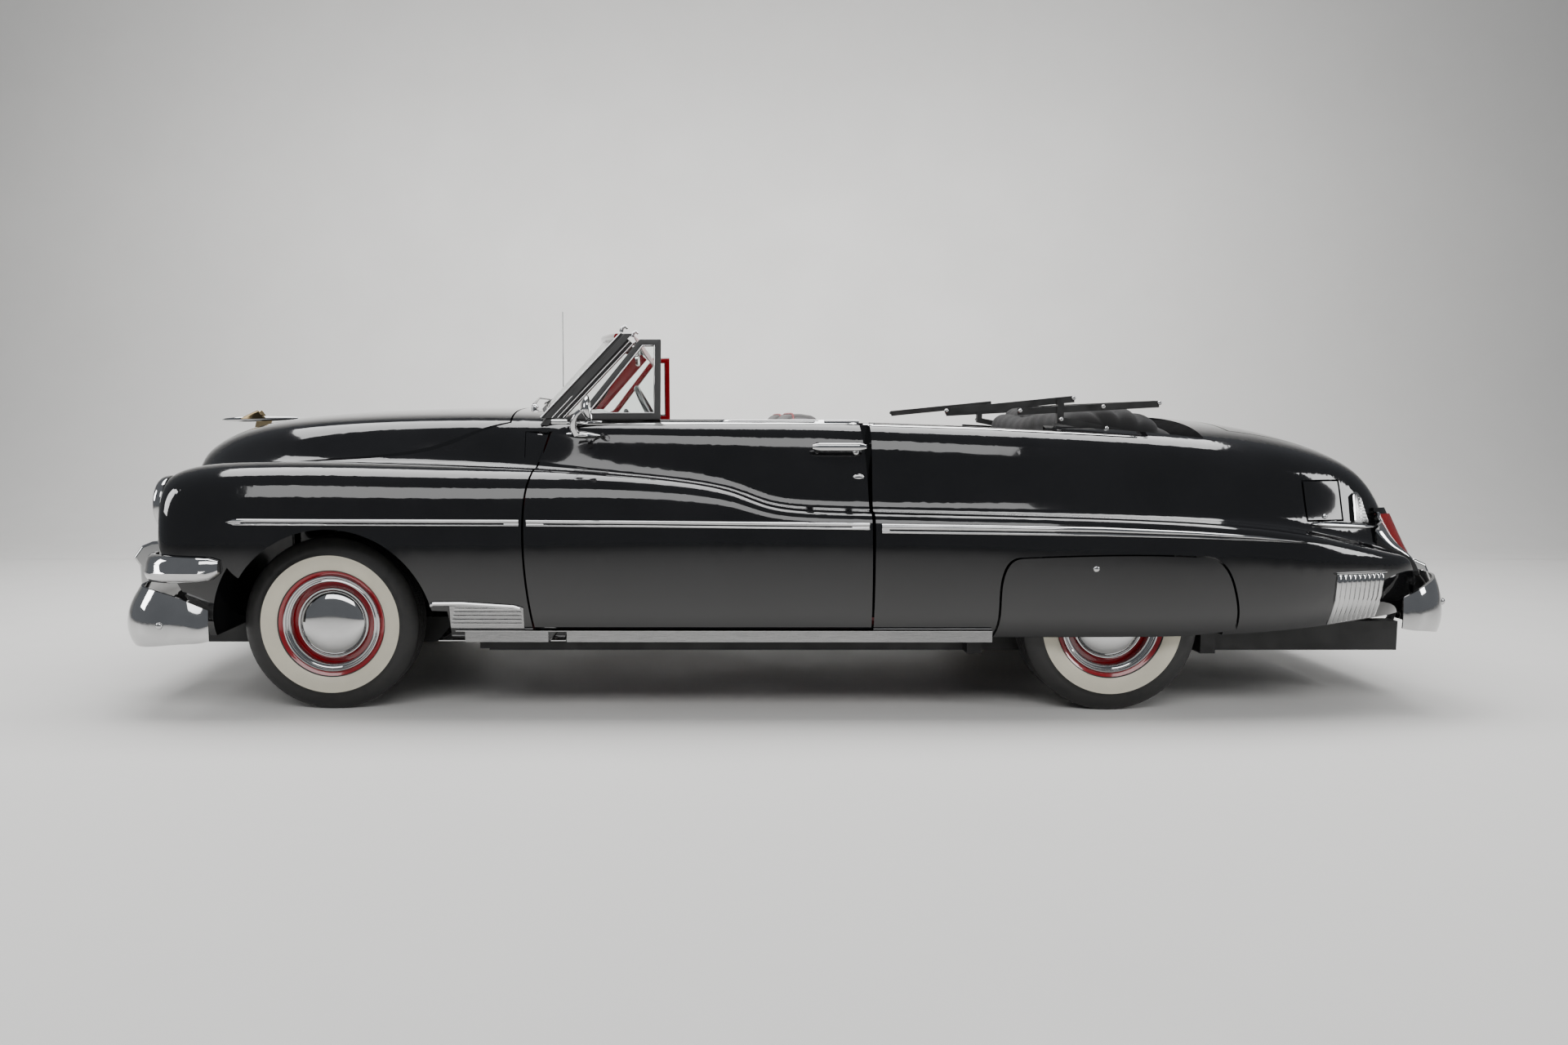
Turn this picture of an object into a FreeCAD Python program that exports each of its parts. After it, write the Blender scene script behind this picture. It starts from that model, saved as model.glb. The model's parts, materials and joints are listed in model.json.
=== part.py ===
import FreeCAD, Part
import Sketcher
import math
import os
import re
from types import SimpleNamespace

V = FreeCAD.Vector

# Full-size two-door convertible, standing on its wheels with the top folded.
# X runs from nose to tail, Y to the car's right, Z up; the origin is on the ground
# under the middle of the overall box. Lengths in millimetres, angles in degrees.
SIZES = [
    ("overall_length", 5253), ("overall_width", 1953), ("wheelbase", 2997),
    ("front_overhang", 876), ("belt_height", 1115),
    # running gear
    ("track_front", 1486), ("track_rear", 1524), ("tyre_radius", 335),
    ("tyre_half_width", 92), ("tread_half_width", 66), ("bead_half_width", 62),
    ("rim_radius", 190), ("rim_flange", 19), ("rim_gauge", 5), ("rim_half_width", 72),
    ("disc_face", 34), ("disc_gauge", 8), ("cap_radius", 136), ("cap_height", 44),
    ("ring_inner_radius", 157),
    ("hub_radius", 34), ("drum_radius", 150), ("drum_width", 60),
    ("seat_clearance", 0.3), ("spindle_radius", 22), ("bearing_clearance", 0.05),
    ("kingpin_offset", 105),
    ("arm_gauge", 26), ("axle_tube_radius", 34), ("axle_housing_radius", 140),
    ("bead_step", 12), ("bead_height", 36), ("shoulder_height", 45), ("rim_well", 25),
    ("kingpin_boss", 25), ("kingpin_half", 115), ("steer_arm_length", 150), ("arm_width", 80),
    ("rail_front_x", -2480), ("rail_bend", 560), ("rail_rear_x", 2520), ("cross_middle_x", 0),
    ("cross_rear_x", 1720), ("spring_length", 1000), ("spring_width", 50), ("spring_gauge", 24),
    ("spring_y", 600), ("spring_pad_gauge", 8), ("hanger_length", 60),
    ("radiator_gauge", 60), ("radiator_height", 560), ("radiator_x", -2240),
    ("tank_length", 560), ("tank_width", 500), ("tank_height", 190), ("tank_x", 1850),
    ("pipe_radius", 20), ("pipe_length", 2900), ("pipe_x", -600),
    ("pipe_y", 300), ("muffler_radius", 58), ("muffler_length", 560),
    ("muffler_x", 140), ("muffler_z", 240),
    # body shell
    ("body_front", 240), ("body_rear", 164), ("nose_bow", 150), ("tail_bow", 55),
    ("panel_gap", 8), ("panel_layer", 30), ("door_skin", 20), ("door_step", 40),
    ("skirt_seat_inset", 71.5), ("skirt_gap", 4), ("buffer_radius", 9),
    ("pad_inset", 40), ("pad_front_x", -2000), ("pad_rear_x", -1200), ("lid_pad_x", 2250),
    ("post_x", -1000), ("sill_front_x", -955), ("seat_well_x", 830), ("well_floor", 820),
    ("rear_pan_half_width", 590), ("bulkhead_gauge", 40), ("well_inset", 286.5),
    ("trunk_shelf", 900), ("bulkhead_top", 1010), ("axle_space_top", 560), ("chin_top", 655), ("chin_depth", 190),
    ("cabin_inset", 241.5), ("sill_top", 338), ("bay_half_width", 440),
    ("apron_gauge", 16), ("arch_radius", 395), ("arch_shift", 32), ("arch_drop", 18),
    ("wheelhouse_radius", 452), ("rear_wheelhouse_radius", 400), ("arch_lip", 34),
    ("hood_rear_x", -1080), ("hood_nose_inset", 416.5), ("hood_rear_inset", 336.5),
    ("hood_lower_edge", 806), ("bay_front_x", -2290), ("firewall_x", -1010),
    ("cowl_rear_x", -772), ("cowl_gauge", 42),
    ("door_front_x", -984), ("door_length", 1298), ("cabin_rear_x", 1010),
    ("well_rear_x", 1640), ("lid_front_x", 1800),
    ("lid_front_inset", 431.5), ("lid_rear_inset", 476.5), ("lid_lower_edge", 575),
    ("trunk_front_x", 1660), ("trunk_mouth_x", 1840), ("trunk_inset", 506.5), ("trunk_floor", 430),
    ("tail_wall", 60), ("floor_height", 330), ("floor_gauge", 14),
    ("mouth_inset", 391.5), ("mouth_bottom", 560), ("mouth_top", 770),
    ("fuel_door_x", 2088), ("fuel_door_inset", 233.5), ("fuel_door_z", 806), ("fuel_door_length", 152),
    ("fuel_door_height", 150), ("fuel_door_gauge", 12), ("fuel_door_lean", 14.5),
    ("fuel_door_turn", 12.5),
    # chassis
    ("rail_height", 120), ("rail_width", 70), ("rail_bottom", 179.7), ("rail_front_y", 345),
    ("rail_rear_y", 520), ("cross_width", 90), ("cross_height", 70),
    # lamps, grille, bumpers
    ("lamp_inset", 268.5), ("lamp_height", 790), ("lamp_radius", 103), ("lamp_rim", 14),
    ("lamp_proud", 26), ("lens_radius", 86), ("lens_dome", 24),
    ("front_bumper_inset", 11.5), ("rear_bumper_inset", 56.5),
    ("front_bumper_bottom", 260), ("rear_bumper_bottom", 300), ("bumper_height", 225),
    ("bumper_gauge", 10), ("front_bumper_crown", 75), ("rear_bumper_crown", 50),
    ("guard_y", 540), ("guard_width", 92), ("guard_top", 632), ("rear_guard_top", 560),
    ("guard_depth", 133),
    ("surround_bottom", 485), ("surround_height", 137), ("surround_depth", 66),
    ("surround_crown", 30),
    ("bar_gauge", 22), ("bar_count", 9), ("tail_lamp_inset", 276.5), ("tail_lamp_bottom", 512),
    ("tail_lamp_height", 262), ("tail_lamp_half_width", 34), ("tail_lamp_depth", 30),
    ("guard_round", 12), ("guard_proud", 26), ("bracket_gauge", 12),
    ("bar_spread", 0.93), ("bar_bow", 40), ("bar_depth", 24), ("bar_z", 672),
    # trim
    ("moulding_proud", 7),
    ("rocker_bottom", 282), ("rocker_height", 50), ("rocker_proud", 14),
    ("handle_x", 100), ("handle_length", 185), ("handle_inset", 96.5), ("handle_z", 1003),
    ("handle_gauge", 12),
    # glass, wheel, seats
    ("glass_base_z", 1175), ("glass_sweep", 62), ("glass_drop", 78), ("header_sweep", 110),
    ("header_drop", 24), ("pillar_share", 0.045), ("header_share", 0.07), ("vent_front_x", -858),
    ("header_height", 1481), ("header_x", -736), ("header_inset", 366.5),
    ("glass_gauge", 6), ("glass_base_x", -1012), ("pillar_base_inset", 268.5), ("pillar_gauge", 30),
    ("vent_inset", 234.5), ("vent_rear_x", -482), ("vent_top", 1440), ("vent_bar", 14), ("vent_lean", 14.5),
    ("steering_y", -350), ("steering_x", -489), ("steering_z", 1054), ("steering_rake", 28.3),
    ("steering_radius", 222), ("steering_rim", 11), ("column_radius", 24), ("column_length", 520),
    ("seat_inset", 286.5), ("seat_front_x", -480), ("seat_cushion_depth", 420),
    ("seat_cushion_height", 160), ("seat_base_z", 450), ("seat_back_gauge", 200),
    ("seat_back_height", 695), ("seat_lean", 60), ("rear_cushion_depth", 420),
    ("rear_back_height", 540), ("rear_back_gauge", 100), ("riser_length", 360), ("dash_x", -1000), ("dash_proud", 60),
    ("dash_bottom", 880), ("dash_round", 30), ("hub_drop", 30), ("bundle_x", 1075),
    ("bundle_length", 545), ("bundle_height", 370), ("bundle_inset", 336.5),
    ("bundle_round", 60), ("iron_gauge", 8), ("iron_height", 26),
    ("antenna_base", 1160), ("antenna_foot", 60), ("mirror_x", -800), ("mirror_inset", 71.5),
    ("mirror_foot_z", 1060), ("mirror_z", 1160), ("mirror_stem", 14), ("mirror_radius", 48),
    ("mirror_depth", 22), ("ornament_x", -2469), ("ornament_length", 335),
    ("ornament_height", 60), ("ornament_z", 1119), ("ornament_half_width", 26),
    ("rear_seat_front_x", 420), ("rear_seat_inset", 416.5),
    ("engine_length", 620), ("engine_width", 460), ("engine_height", 520),
    ("engine_x", -1720), ("antenna_x", -1018), ("antenna_inset", 321.5),
    ("antenna_top", 1659), ("antenna_radius", 2.5),
]

doc = FreeCAD.newDocument("Convertible")
sheet = doc.addObject("Spreadsheet::Sheet", "Sizes")
for line, (word, value) in enumerate(SIZES, start=1):
    sheet.set("A%d" % line, word)
    sheet.set("B%d" % line, str(value))
    sheet.setAlias("B%d" % line, word)
doc.recompute()
d = SimpleNamespace(**{word: float(sheet.get(word)) for word, _ in SIZES})

half_length = d.overall_length / 2
half_width = d.overall_width / 2
front_axle_x = d.front_overhang - half_length
rear_axle_x = front_axle_x + d.wheelbase
nose_x = d.body_front - half_length
tail_x = half_length - d.body_rear
body_length = tail_x - nose_x
SIDES = (("left", -1), ("right", 1))
PARTS = []

# Half widths and side places, each measured in from the side of the car
cabin_half_width = half_width - d.cabin_inset
skirt_seat_y = half_width - d.skirt_seat_inset
pillar_base_y = half_width - d.pillar_base_inset
header_half_width = half_width - d.header_inset
vent_y = half_width - d.vent_inset
handle_y = half_width - d.handle_inset
mirror_y = half_width - d.mirror_inset
lamp_y = half_width - d.lamp_inset
tail_lamp_y = half_width - d.tail_lamp_inset
fuel_door_y = half_width - d.fuel_door_inset
hood_nose_half_width = half_width - d.hood_nose_inset
hood_rear_half_width = half_width - d.hood_rear_inset
lid_half_width = half_width - d.lid_front_inset
lid_rear_half_width = half_width - d.lid_rear_inset
trunk_half_width = half_width - d.trunk_inset
well_half_width = half_width - d.well_inset
bundle_half_width = half_width - d.bundle_inset
seat_half_width = half_width - d.seat_inset
rear_seat_half_width = half_width - d.rear_seat_inset
mouth_half_width = half_width - d.mouth_inset
front_bumper_half_width = half_width - d.front_bumper_inset
rear_bumper_half_width = half_width - d.rear_bumper_inset
antenna_y = half_width - d.antenna_inset


def keep(obj, node):
    obj.Label = node
    PARTS.append(obj)
    return obj


def bind(obj, prop, expression):
    obj.setExpression(prop, re.sub(r"([a-z_]{3,})", r"Sizes.\1", expression))


def place(obj, at, turn=None):
    if turn:
        obj.Placement = FreeCAD.Placement(V(0, 0, 0), FreeCAD.Rotation(*turn))
    for axis, expression in zip("xyz", at):
        bind(obj, "Placement.Base." + axis, expression)


def box(name, size, at):
    obj = doc.addObject("Part::Box", name)
    for prop, expression in zip(("Length", "Width", "Height"), size):
        bind(obj, prop, expression)
    place(obj, at)
    return obj


ALONG_Y = (V(1, 0, 0), -90)
ALONG_X = (V(0, 1, 0), 90)


def rod(name, radius, length, at, turn=None):
    obj = doc.addObject("Part::Cylinder", name)
    bind(obj, "Radius", radius)
    bind(obj, "Height", length)
    place(obj, at, turn)
    return obj


def fuse(name, shapes):
    obj = doc.addObject("Part::MultiFuse", name)
    obj.Shapes = shapes
    return obj


def cut(name, base, tool):
    obj = doc.addObject("Part::Cut", name)
    obj.Base, obj.Tool = base, tool
    return obj


def solid_node(node, shape):
    """Node whose shape comes from Part functions."""
    obj = doc.addObject("Part::Feature", node)
    obj.Shape = shape
    return keep(obj, node)


def spun(name, profile, at):
    """PartDesign body: a closed profile of (radius, offset) sizes spun about a line along Y."""
    body = doc.addObject("PartDesign::Body", name)
    sketch = body.newObject("Sketcher::SketchObject", name + "_profile")
    plane = [f for f in body.Origin.OriginFeatures if f.Role == "XY_Plane"][0]
    sketch.AttachmentSupport = (plane, [""])
    sketch.MapMode = "FlatFace"
    count = len(profile)
    ring = [V(math.cos(math.tau * i / count), math.sin(math.tau * i / count), 0) * d.rim_radius
            for i in range(count)]
    for i in range(count):
        sketch.addGeometry(Part.LineSegment(ring[i], ring[(i + 1) % count]), False)
    for i in range(count):
        sketch.addConstraint(Sketcher.Constraint("Coincident", i, 2, (i + 1) % count, 1))
    for i, point in enumerate(profile):
        for kind, expression in zip(("DistanceX", "DistanceY"), point):
            start = ring[i].x if kind == "DistanceX" else ring[i].y
            index = sketch.addConstraint(Sketcher.Constraint(kind, -1, 1, i, 1, start))
            bind(sketch, "Constraints[%d]" % index, expression)
    spin = body.newObject("PartDesign::Revolution", name + "_spin")
    spin.Profile = (sketch, [""])
    spin.ReferenceAxis = (sketch, ["V_Axis"])
    spin.Angle = 360
    body.Tip = spin
    place(body, at)
    return body


def wire(*runs):
    """Closed wire: a run of two points is a line, a longer run one smooth curve."""
    edges = []
    for run in runs:
        if len(run) == 2:
            edges.append(Part.makeLine(*run))
        else:
            curve = Part.BSplineCurve()
            curve.interpolate(list(run))
            edges.append(curve.toShape())
    if (runs[-1][-1] - runs[0][0]).Length > d.seat_clearance:
        edges.append(Part.makeLine(runs[-1][-1], runs[0][0]))
    return Part.Wire(Part.__sortEdges__(edges))


def side_prism(runs, y_from, y_to):
    """Outline of (x, z) runs, carried across from y_from to y_to."""
    outline = wire(*[[V(x, y_from, z) for x, z in run] for run in runs])
    return Part.Face(outline).extrude(V(0, y_to - y_from, 0))


def side_polygon(points, y_from, y_to):
    corners = [V(x, y_from, z) for x, z in points]
    return Part.Face(Part.makePolygon(corners + corners[:1])).extrude(V(0, y_to - y_from, 0))


def plan_polygon(points, z_from, z_to):
    corners = [V(x, y, z_from) for x, y in points]
    return Part.Face(Part.makePolygon(corners + corners[:1])).extrude(V(0, 0, z_to - z_from))


def block(x_from, x_to, y_from, y_to, z_from, z_to):
    return Part.makeBox(x_to - x_from, y_to - y_from, z_to - z_from, V(x_from, y_from, z_from))


def centred(x_from, x_to, half, z_from, z_to):
    return block(x_from, x_to, -half, half, z_from, z_to)


def moved(shape, x, y, z):
    copy = shape.copy()
    copy.translate(V(x, y, z))
    return copy


def mirrored(shape):
    return shape.mirror(V(0, 0, 0), V(0, 1, 0))


def both(shape):
    return Part.makeCompound([shape, mirrored(shape)])


def joined(first, *others):
    return first.fuse(list(others)).removeSplitter()


def body_x(share):
    return nose_x + share * body_length


def outline_points(shares):
    return [(body_x(x), z * d.belt_height) for x, z in shares]


# Guide lines of the body: share of the body's length, share of half the width or of belt height
centre_height_shares = (
    (-0.033, 0.789), (-0.029, 0.830), (-0.018, 0.897), (-0.006, 0.943), (0.009, 0.979),
    (0.052, 1.012), (0.100, 1.030), (0.154, 1.045), (0.215, 1.051), (0.271, 1.053),
    (0.368, 1.040), (0.492, 1.031), (0.698, 1.027), (0.822, 1.021), (0.882, 0.996),
    (0.912, 0.966), (0.935, 0.935), (0.958, 0.897), (0.983, 0.839), (0.997, 0.771),
    (1.006, 0.682), (1.012, 0.574))
shoulder_out_shares = (
    (-0.033, 0.307), (-0.013, 0.389), (0.052, 0.461), (0.100, 0.502), (0.215, 0.584),
    (0.265, 0.655), (0.307, 0.763), (0.348, 0.814), (0.410, 0.827), (0.616, 0.835),
    (0.698, 0.822), (0.773, 0.802), (0.843, 0.770), (0.905, 0.732), (0.946, 0.707),
    (0.977, 0.666), (0.997, 0.614))
shoulder_height_shares = (
    (-0.023, 0.762), (-0.003, 0.865), (0.018, 0.928), (0.052, 0.969), (0.100, 0.989),
    (0.153, 1.002), (0.215, 1.008), (0.271, 1.010), (0.307, 1.005), (0.348, 1.002),
    (0.552, 1.002), (0.581, 0.990), (0.645, 0.978), (0.709, 0.966), (0.773, 0.950),
    (0.843, 0.922), (0.890, 0.899), (0.937, 0.861), (0.964, 0.818), (0.978, 0.764),
    (0.987, 0.682), (0.995, 0.574))
valley_out_shares = (
    (0.000, 0.573), (0.052, 0.604), (0.215, 0.671), (0.271, 0.737), (0.307, 0.819),
    (0.368, 0.873), (0.492, 0.887), (0.698, 0.883), (0.802, 0.865), (0.884, 0.819),
    (0.946, 0.768), (0.997, 0.707))
valley_height_shares = (
    (0.000, 0.709), (0.008, 0.753), (0.028, 0.794), (0.059, 0.818), (0.111, 0.830),
    (0.215, 0.836), (0.307, 0.832), (0.372, 0.821), (0.426, 0.793), (0.455, 0.771),
    (0.469, 0.735), (0.480, 0.713), (0.517, 0.704), (0.557, 0.700), (0.732, 0.682),
    (0.795, 0.671), (0.842, 0.659), (0.886, 0.641), (0.917, 0.619), (0.956, 0.583),
    (0.987, 0.538))
crown_out_shares = (
    (0.000, 0.748), (0.028, 0.794), (0.059, 0.814), (0.149, 0.822), (0.259, 0.842),
    (0.307, 0.870), (0.372, 0.901), (0.455, 0.924), (0.480, 0.937), (0.557, 0.944),
    (0.732, 0.954), (0.795, 0.952), (0.842, 0.939), (0.886, 0.911), (0.910, 0.889),
    (0.956, 0.835), (0.987, 0.778))
crown_height_shares = (
    (0.000, 0.807), (0.003, 0.823), (0.012, 0.841), (0.028, 0.854), (0.059, 0.863),
    (0.111, 0.865), (0.149, 0.863), (0.204, 0.854), (0.259, 0.846), (0.307, 0.837),
    (0.372, 0.820), (0.426, 0.789), (0.455, 0.767), (0.469, 0.731), (0.480, 0.708),
    (0.517, 0.699), (0.557, 0.695), (0.732, 0.676), (0.795, 0.665), (0.842, 0.651),
    (0.886, 0.628), (0.917, 0.601), (0.956, 0.565), (0.987, 0.529))
side_out_shares = (
    (0.000, 0.883), (0.003, 0.917), (0.018, 0.950), (0.049, 0.971), (0.100, 0.981),
    (0.183, 0.987), (0.616, 0.990), (0.740, 0.994), (0.822, 0.987), (0.884, 0.961),
    (0.917, 0.932), (0.956, 0.883), (0.983, 0.835), (0.995, 0.789), (1.000, 0.753))
side_height_shares = (
    (0.000, 0.628), (0.100, 0.646), (0.492, 0.619), (0.740, 0.574), (1.000, 0.520))
sill_out_shares = (
    (0.000, 0.840), (0.018, 0.901), (0.100, 0.947), (0.492, 0.961), (0.781, 0.963),
    (0.884, 0.927), (0.956, 0.850), (0.987, 0.799), (1.000, 0.717))
sill_height_shares = (
    (0.000, 0.269), (0.802, 0.269), (0.917, 0.299), (0.964, 0.320), (1.000, 0.332))
row_shares = (0.0, 0.004, 0.020, 0.055, 0.121, 0.203, 0.276, 0.337, 0.406, 0.451, 0.476,
              0.513, 0.595, 0.698, 0.791, 0.859, 0.900, 0.927, 0.954, 0.979, 0.994, 1.0)
nose_bow_shares = (0, 1, 0.92, 0.6, 0.15)
tail_bow_shares = (0, 1, 0.9, 0.6, 0.25)
# Centre, shoulder, valley, crown and side heights of the flat faces that end the form
nose_end_shares = (0.726, 0.717, 0.709, 0.807, 0.628)
tail_end_shares = (0.484, 0.475, 0.457, 0.439, 0.404)
bow_reach_share = 0.62
crown_drop_share = 0.22
crown_round_share = 0.72


def guide(shares):
    """Smooth curve through the shares that never overshoots them."""
    spans = [b[0] - a[0] for a, b in zip(shares, shares[1:])]
    slopes = [(b[1] - a[1]) / span for a, b, span in zip(shares, shares[1:], spans)]
    inner = [2 * p * q / (p + q) if p * q > 0 else 0 for p, q in zip(slopes, slopes[1:])]
    tangents = [slopes[0]] + inner + [slopes[-1]]

    def value(at):
        at = min(max(at, shares[0][0]), shares[-1][0])
        i = max(k for k in range(len(spans)) if shares[k][0] <= at)
        t = (at - shares[i][0]) / spans[i]
        rise = (3 - 2 * t) * t * t
        return (shares[i][1] * (1 - rise) + shares[i + 1][1] * rise
                + spans[i] * t * (1 - t) * ((1 - t) * tangents[i] - t * tangents[i + 1]))
    return value


centre_height, shoulder_height = guide(centre_height_shares), guide(shoulder_height_shares)
shoulder_out, valley_out = guide(shoulder_out_shares), guide(valley_out_shares)
valley_height, crown_height = guide(valley_height_shares), guide(crown_height_shares)
crown_out, side_out = guide(crown_out_shares), guide(side_out_shares)
side_height, sill_out = guide(side_height_shares), guide(sill_out_shares)
sill_height = guide(sill_height_shares)


def body_row(index):
    """Poles of one cross-section, from the centre line out and down to the sill."""
    along = row_shares[index]
    back = len(row_shares) - 1 - index
    nose = nose_bow_shares[index] if index < len(nose_bow_shares) else 0
    tail = tail_bow_shares[back] if back < len(tail_bow_shares) else 0

    def at(out):
        reach = max(0, 1 - (out / bow_reach_share) ** 2)
        shift = (tail * d.tail_bow - nose * d.nose_bow) * reach
        return along + shift / body_length

    ends = {0: nose_end_shares, len(row_shares) - 1: tail_end_shares}.get(index)
    shoulder_y = shoulder_out(at(shoulder_out(along)))
    top, shoulder = centre_height(at(0)), shoulder_height(at(shoulder_y))
    valley_y, valley_z = valley_out(along), valley_height(along)
    crown_y, crown_z = crown_out(along), crown_height(along)
    side_y, side_z = side_out(along), side_height(along)
    sill_y, sill_z = sill_out(along), sill_height(along)
    if ends:
        top, shoulder, valley_z, crown_z, side_z = ends
    drop = top - shoulder
    poles = [
        (0, top), (0.3 * shoulder_y, top - 0.03 * drop), (0.72 * shoulder_y, top - 0.3 * drop),
        (shoulder_y, shoulder), ((shoulder_y + valley_y) / 2, (shoulder + valley_z) / 2),
        (valley_y, valley_z), ((valley_y + crown_y) / 2, valley_z + 0.9 * (crown_z - valley_z)),
        (crown_y, crown_z),
        (crown_y + crown_round_share * (side_y - crown_y),
         crown_z - crown_drop_share * (crown_z - side_z)),
        (side_y, side_z), (side_y - 0.15 * (side_y - sill_y), sill_z + 0.4 * (side_z - sill_z)),
        (sill_y, sill_z + 0.036), (sill_y - 0.03, sill_z)]
    half = [V(body_x(at(y)), y * half_width, z * d.belt_height) for y, z in poles]
    return [V(p.x, -p.y, p.z) for p in reversed(half)] + half[1:]


def body_form():
    """The closed outer form that every body panel is cut from."""
    poles = [body_row(i) for i in range(len(row_shares))]
    surface = Part.BSplineSurface()
    knots = [list(range(len(poles) - 2)), list(range(len(poles[0]) - 2))]
    ends = [[4] + [1] * (len(k) - 2) + [4] for k in knots]
    surface.buildFromPolesMultsKnots(poles, ends[0], ends[1], knots[0], knots[1],
                                     False, False, 3, 3)
    floor = Part.makeRuledSurface(surface.vIso(knots[1][0]).toShape(),
                                  surface.vIso(knots[1][-1]).toShape())
    caps = []
    for knot in (knots[0][0], knots[0][-1]):
        rim = surface.uIso(knot).toShape()
        chord = Part.makeLine(rim.Vertexes[-1].Point, rim.Vertexes[0].Point)
        caps.append(Part.Face(Part.Wire([rim, chord])))
    shell = Part.makeShell([surface.toShape(), floor] + caps)
    shell.sewShape()
    return Part.makeSolid(shell)


form = body_form()
high = 2 * d.belt_height
wide = d.overall_width
gap = d.panel_gap
seat = d.seat_clearance


def under(x, z):
    """The body form drawn inwards, to leave a panel of even thickness."""
    return moved(form, x, 0, -z)


def hood_prism(more):
    rear, front = hood_rear_half_width + more, hood_nose_half_width + more
    edge = [(d.hood_rear_x + more, rear), (nose_x, front), (nose_x - 2 * d.nose_bow, front)]
    return plan_polygon(edge + [(x, -y) for x, y in reversed(edge)], d.hood_lower_edge - more, high)


def lid_prism(more):
    front, rear = lid_half_width + more, lid_rear_half_width + more
    edge = [(d.lid_front_x - more, front), (tail_x + 2 * d.tail_bow, rear)]
    return plan_polygon(edge + [(x, -y) for x, y in reversed(edge)], d.lid_lower_edge - more, high)


# Door outline: share of the door's length behind its front end, share of belt height
door_front_shares = ((0.066, 1.06), (0.060, 0.957), (0.031, 0.864), (0.009, 0.780), (0.0, 0.676),
                     (0.001, 0.551), (0.012, 0.409), (0.028, 0.290))
door_rear_shares = ((1.0, 0.290), (0.998, 0.520), (0.996, 0.676), (0.988, 0.864), (0.976, 0.979),
                    (0.972, 1.06))


corner_share = 0.080


def door_prism(more, y_from, y_to):
    def spot(share, out):
        return d.door_front_x + share[0] * d.door_length + out, share[1] * d.belt_height

    front = [spot(share, -more) for share in door_front_shares]
    rear = [spot(share, more) for share in door_rear_shares]
    whole = side_prism([front, [front[-1], rear[0]], rear], y_from, y_to)
    return whole.common(block(-half_length, half_length, -wide, wide, d.sill_top - more, high))


def along_y(x, z, radius, y_from, y_to):
    return Part.makeCylinder(radius, y_to - y_from, V(x, y_from, z), V(0, 1, 0))


skirt_shares = (
    ((0.652, 0.270), (0.656, 0.393), (0.658, 0.488), (0.662, 0.523), (0.672, 0.542)),
    ((0.672, 0.542), (0.731, 0.550), (0.778, 0.550), (0.809, 0.545)),
    ((0.809, 0.545), (0.822, 0.529), (0.830, 0.488), (0.835, 0.434), (0.839, 0.365),
     (0.840, 0.270)))


def skirt_prism(more, y_from):
    centre = (rear_axle_x, d.tyre_radius)
    grow = 1 + 2 * more / d.arch_radius
    runs = [[(centre[0] + (x - centre[0]) * grow, centre[1] + (z - centre[1]) * grow)
             for x, z in outline_points(run)] for run in skirt_shares]
    return side_prism(runs, y_from, wide)


# Body panels, worked out for the right side
back = 2 * d.body_rear
arch_x, arch_z = front_axle_x + d.arch_shift, d.tyre_radius - d.arch_drop
front_end, rear_end = -half_length - back, half_length + back
cowl_front_x = d.hood_rear_x + gap
inner_layer = moved(form, 0, -d.door_skin, 0)


def wheel_space(x, z, radius, y_from, y_to):
    return joined(along_y(x, z, radius, y_from, y_to),
                  block(x - radius, x + radius, y_from, y_to, 0, z))


cabin_space = joined(
    centred(d.firewall_x, d.cowl_rear_x, cabin_half_width, d.floor_height,
            d.belt_height - d.cowl_gauge),
    centred(d.cowl_rear_x, d.seat_well_x, cabin_half_width, d.floor_height, high),
    centred(d.seat_well_x, d.cabin_rear_x, cabin_half_width, d.well_floor, high),
    centred(d.seat_well_x, d.cabin_rear_x, d.rear_pan_half_width, d.floor_height, high))
top_well = joined(
    centred(d.cabin_rear_x + d.bulkhead_gauge, d.well_rear_x, well_half_width,
            d.well_floor, high),
    centred(d.cabin_rear_x - gap, d.well_rear_x, well_half_width, d.bulkhead_top, high))
engine_bay = centred(d.bay_front_x, d.hood_rear_x, d.bay_half_width, 0, high)
trunk_space = joined(
    centred(d.trunk_front_x, rear_end, trunk_half_width, d.trunk_floor, d.trunk_shelf),
    centred(d.trunk_mouth_x, rear_end, trunk_half_width, d.trunk_floor, high)
).common(under(-d.tail_wall, d.panel_layer + gap))
axle_space = centred(d.cabin_rear_x + d.bulkhead_gauge, d.well_rear_x - d.bulkhead_gauge,
                     d.rear_pan_half_width, 0, d.axle_space_top)
tank_space = centred(d.tank_x - gap, d.tank_x + d.tank_length + gap, d.tank_width / 2 + gap, 0,
                     d.trunk_floor - d.floor_gauge)
apron_y = d.bay_half_width + d.apron_gauge
arm_space = block(front_axle_x - d.arm_width / 2 - gap, front_axle_x + d.arm_width / 2 + gap,
                  d.bay_half_width - gap, apron_y + gap, 0,
                  d.tyre_radius + d.kingpin_half + 2 * gap)
front_house = wheel_space(arch_x, arch_z, d.wheelhouse_radius, apron_y, half_width - d.arch_lip)
front_arch = wheel_space(arch_x, arch_z, d.arch_radius, apron_y, wide)
rear_house = wheel_space(rear_axle_x, d.tyre_radius, d.rear_wheelhouse_radius,
                         d.rear_pan_half_width, skirt_seat_y)
chin = side_polygon([(front_end, d.chin_top), (nose_x, d.chin_top),
                     (nose_x + d.chin_depth, d.sill_top), (nose_x + d.chin_depth, 0),
                     (front_end, 0)], -wide, wide)
mouth = centred(front_end, d.bay_front_x, mouth_half_width, d.mouth_bottom, d.mouth_top)
hood_space = hood_prism(gap).cut(under(d.panel_layer + gap, d.panel_layer + gap))
lid_space = lid_prism(gap).cut(under(-d.panel_layer - gap, d.panel_layer + gap))
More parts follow.
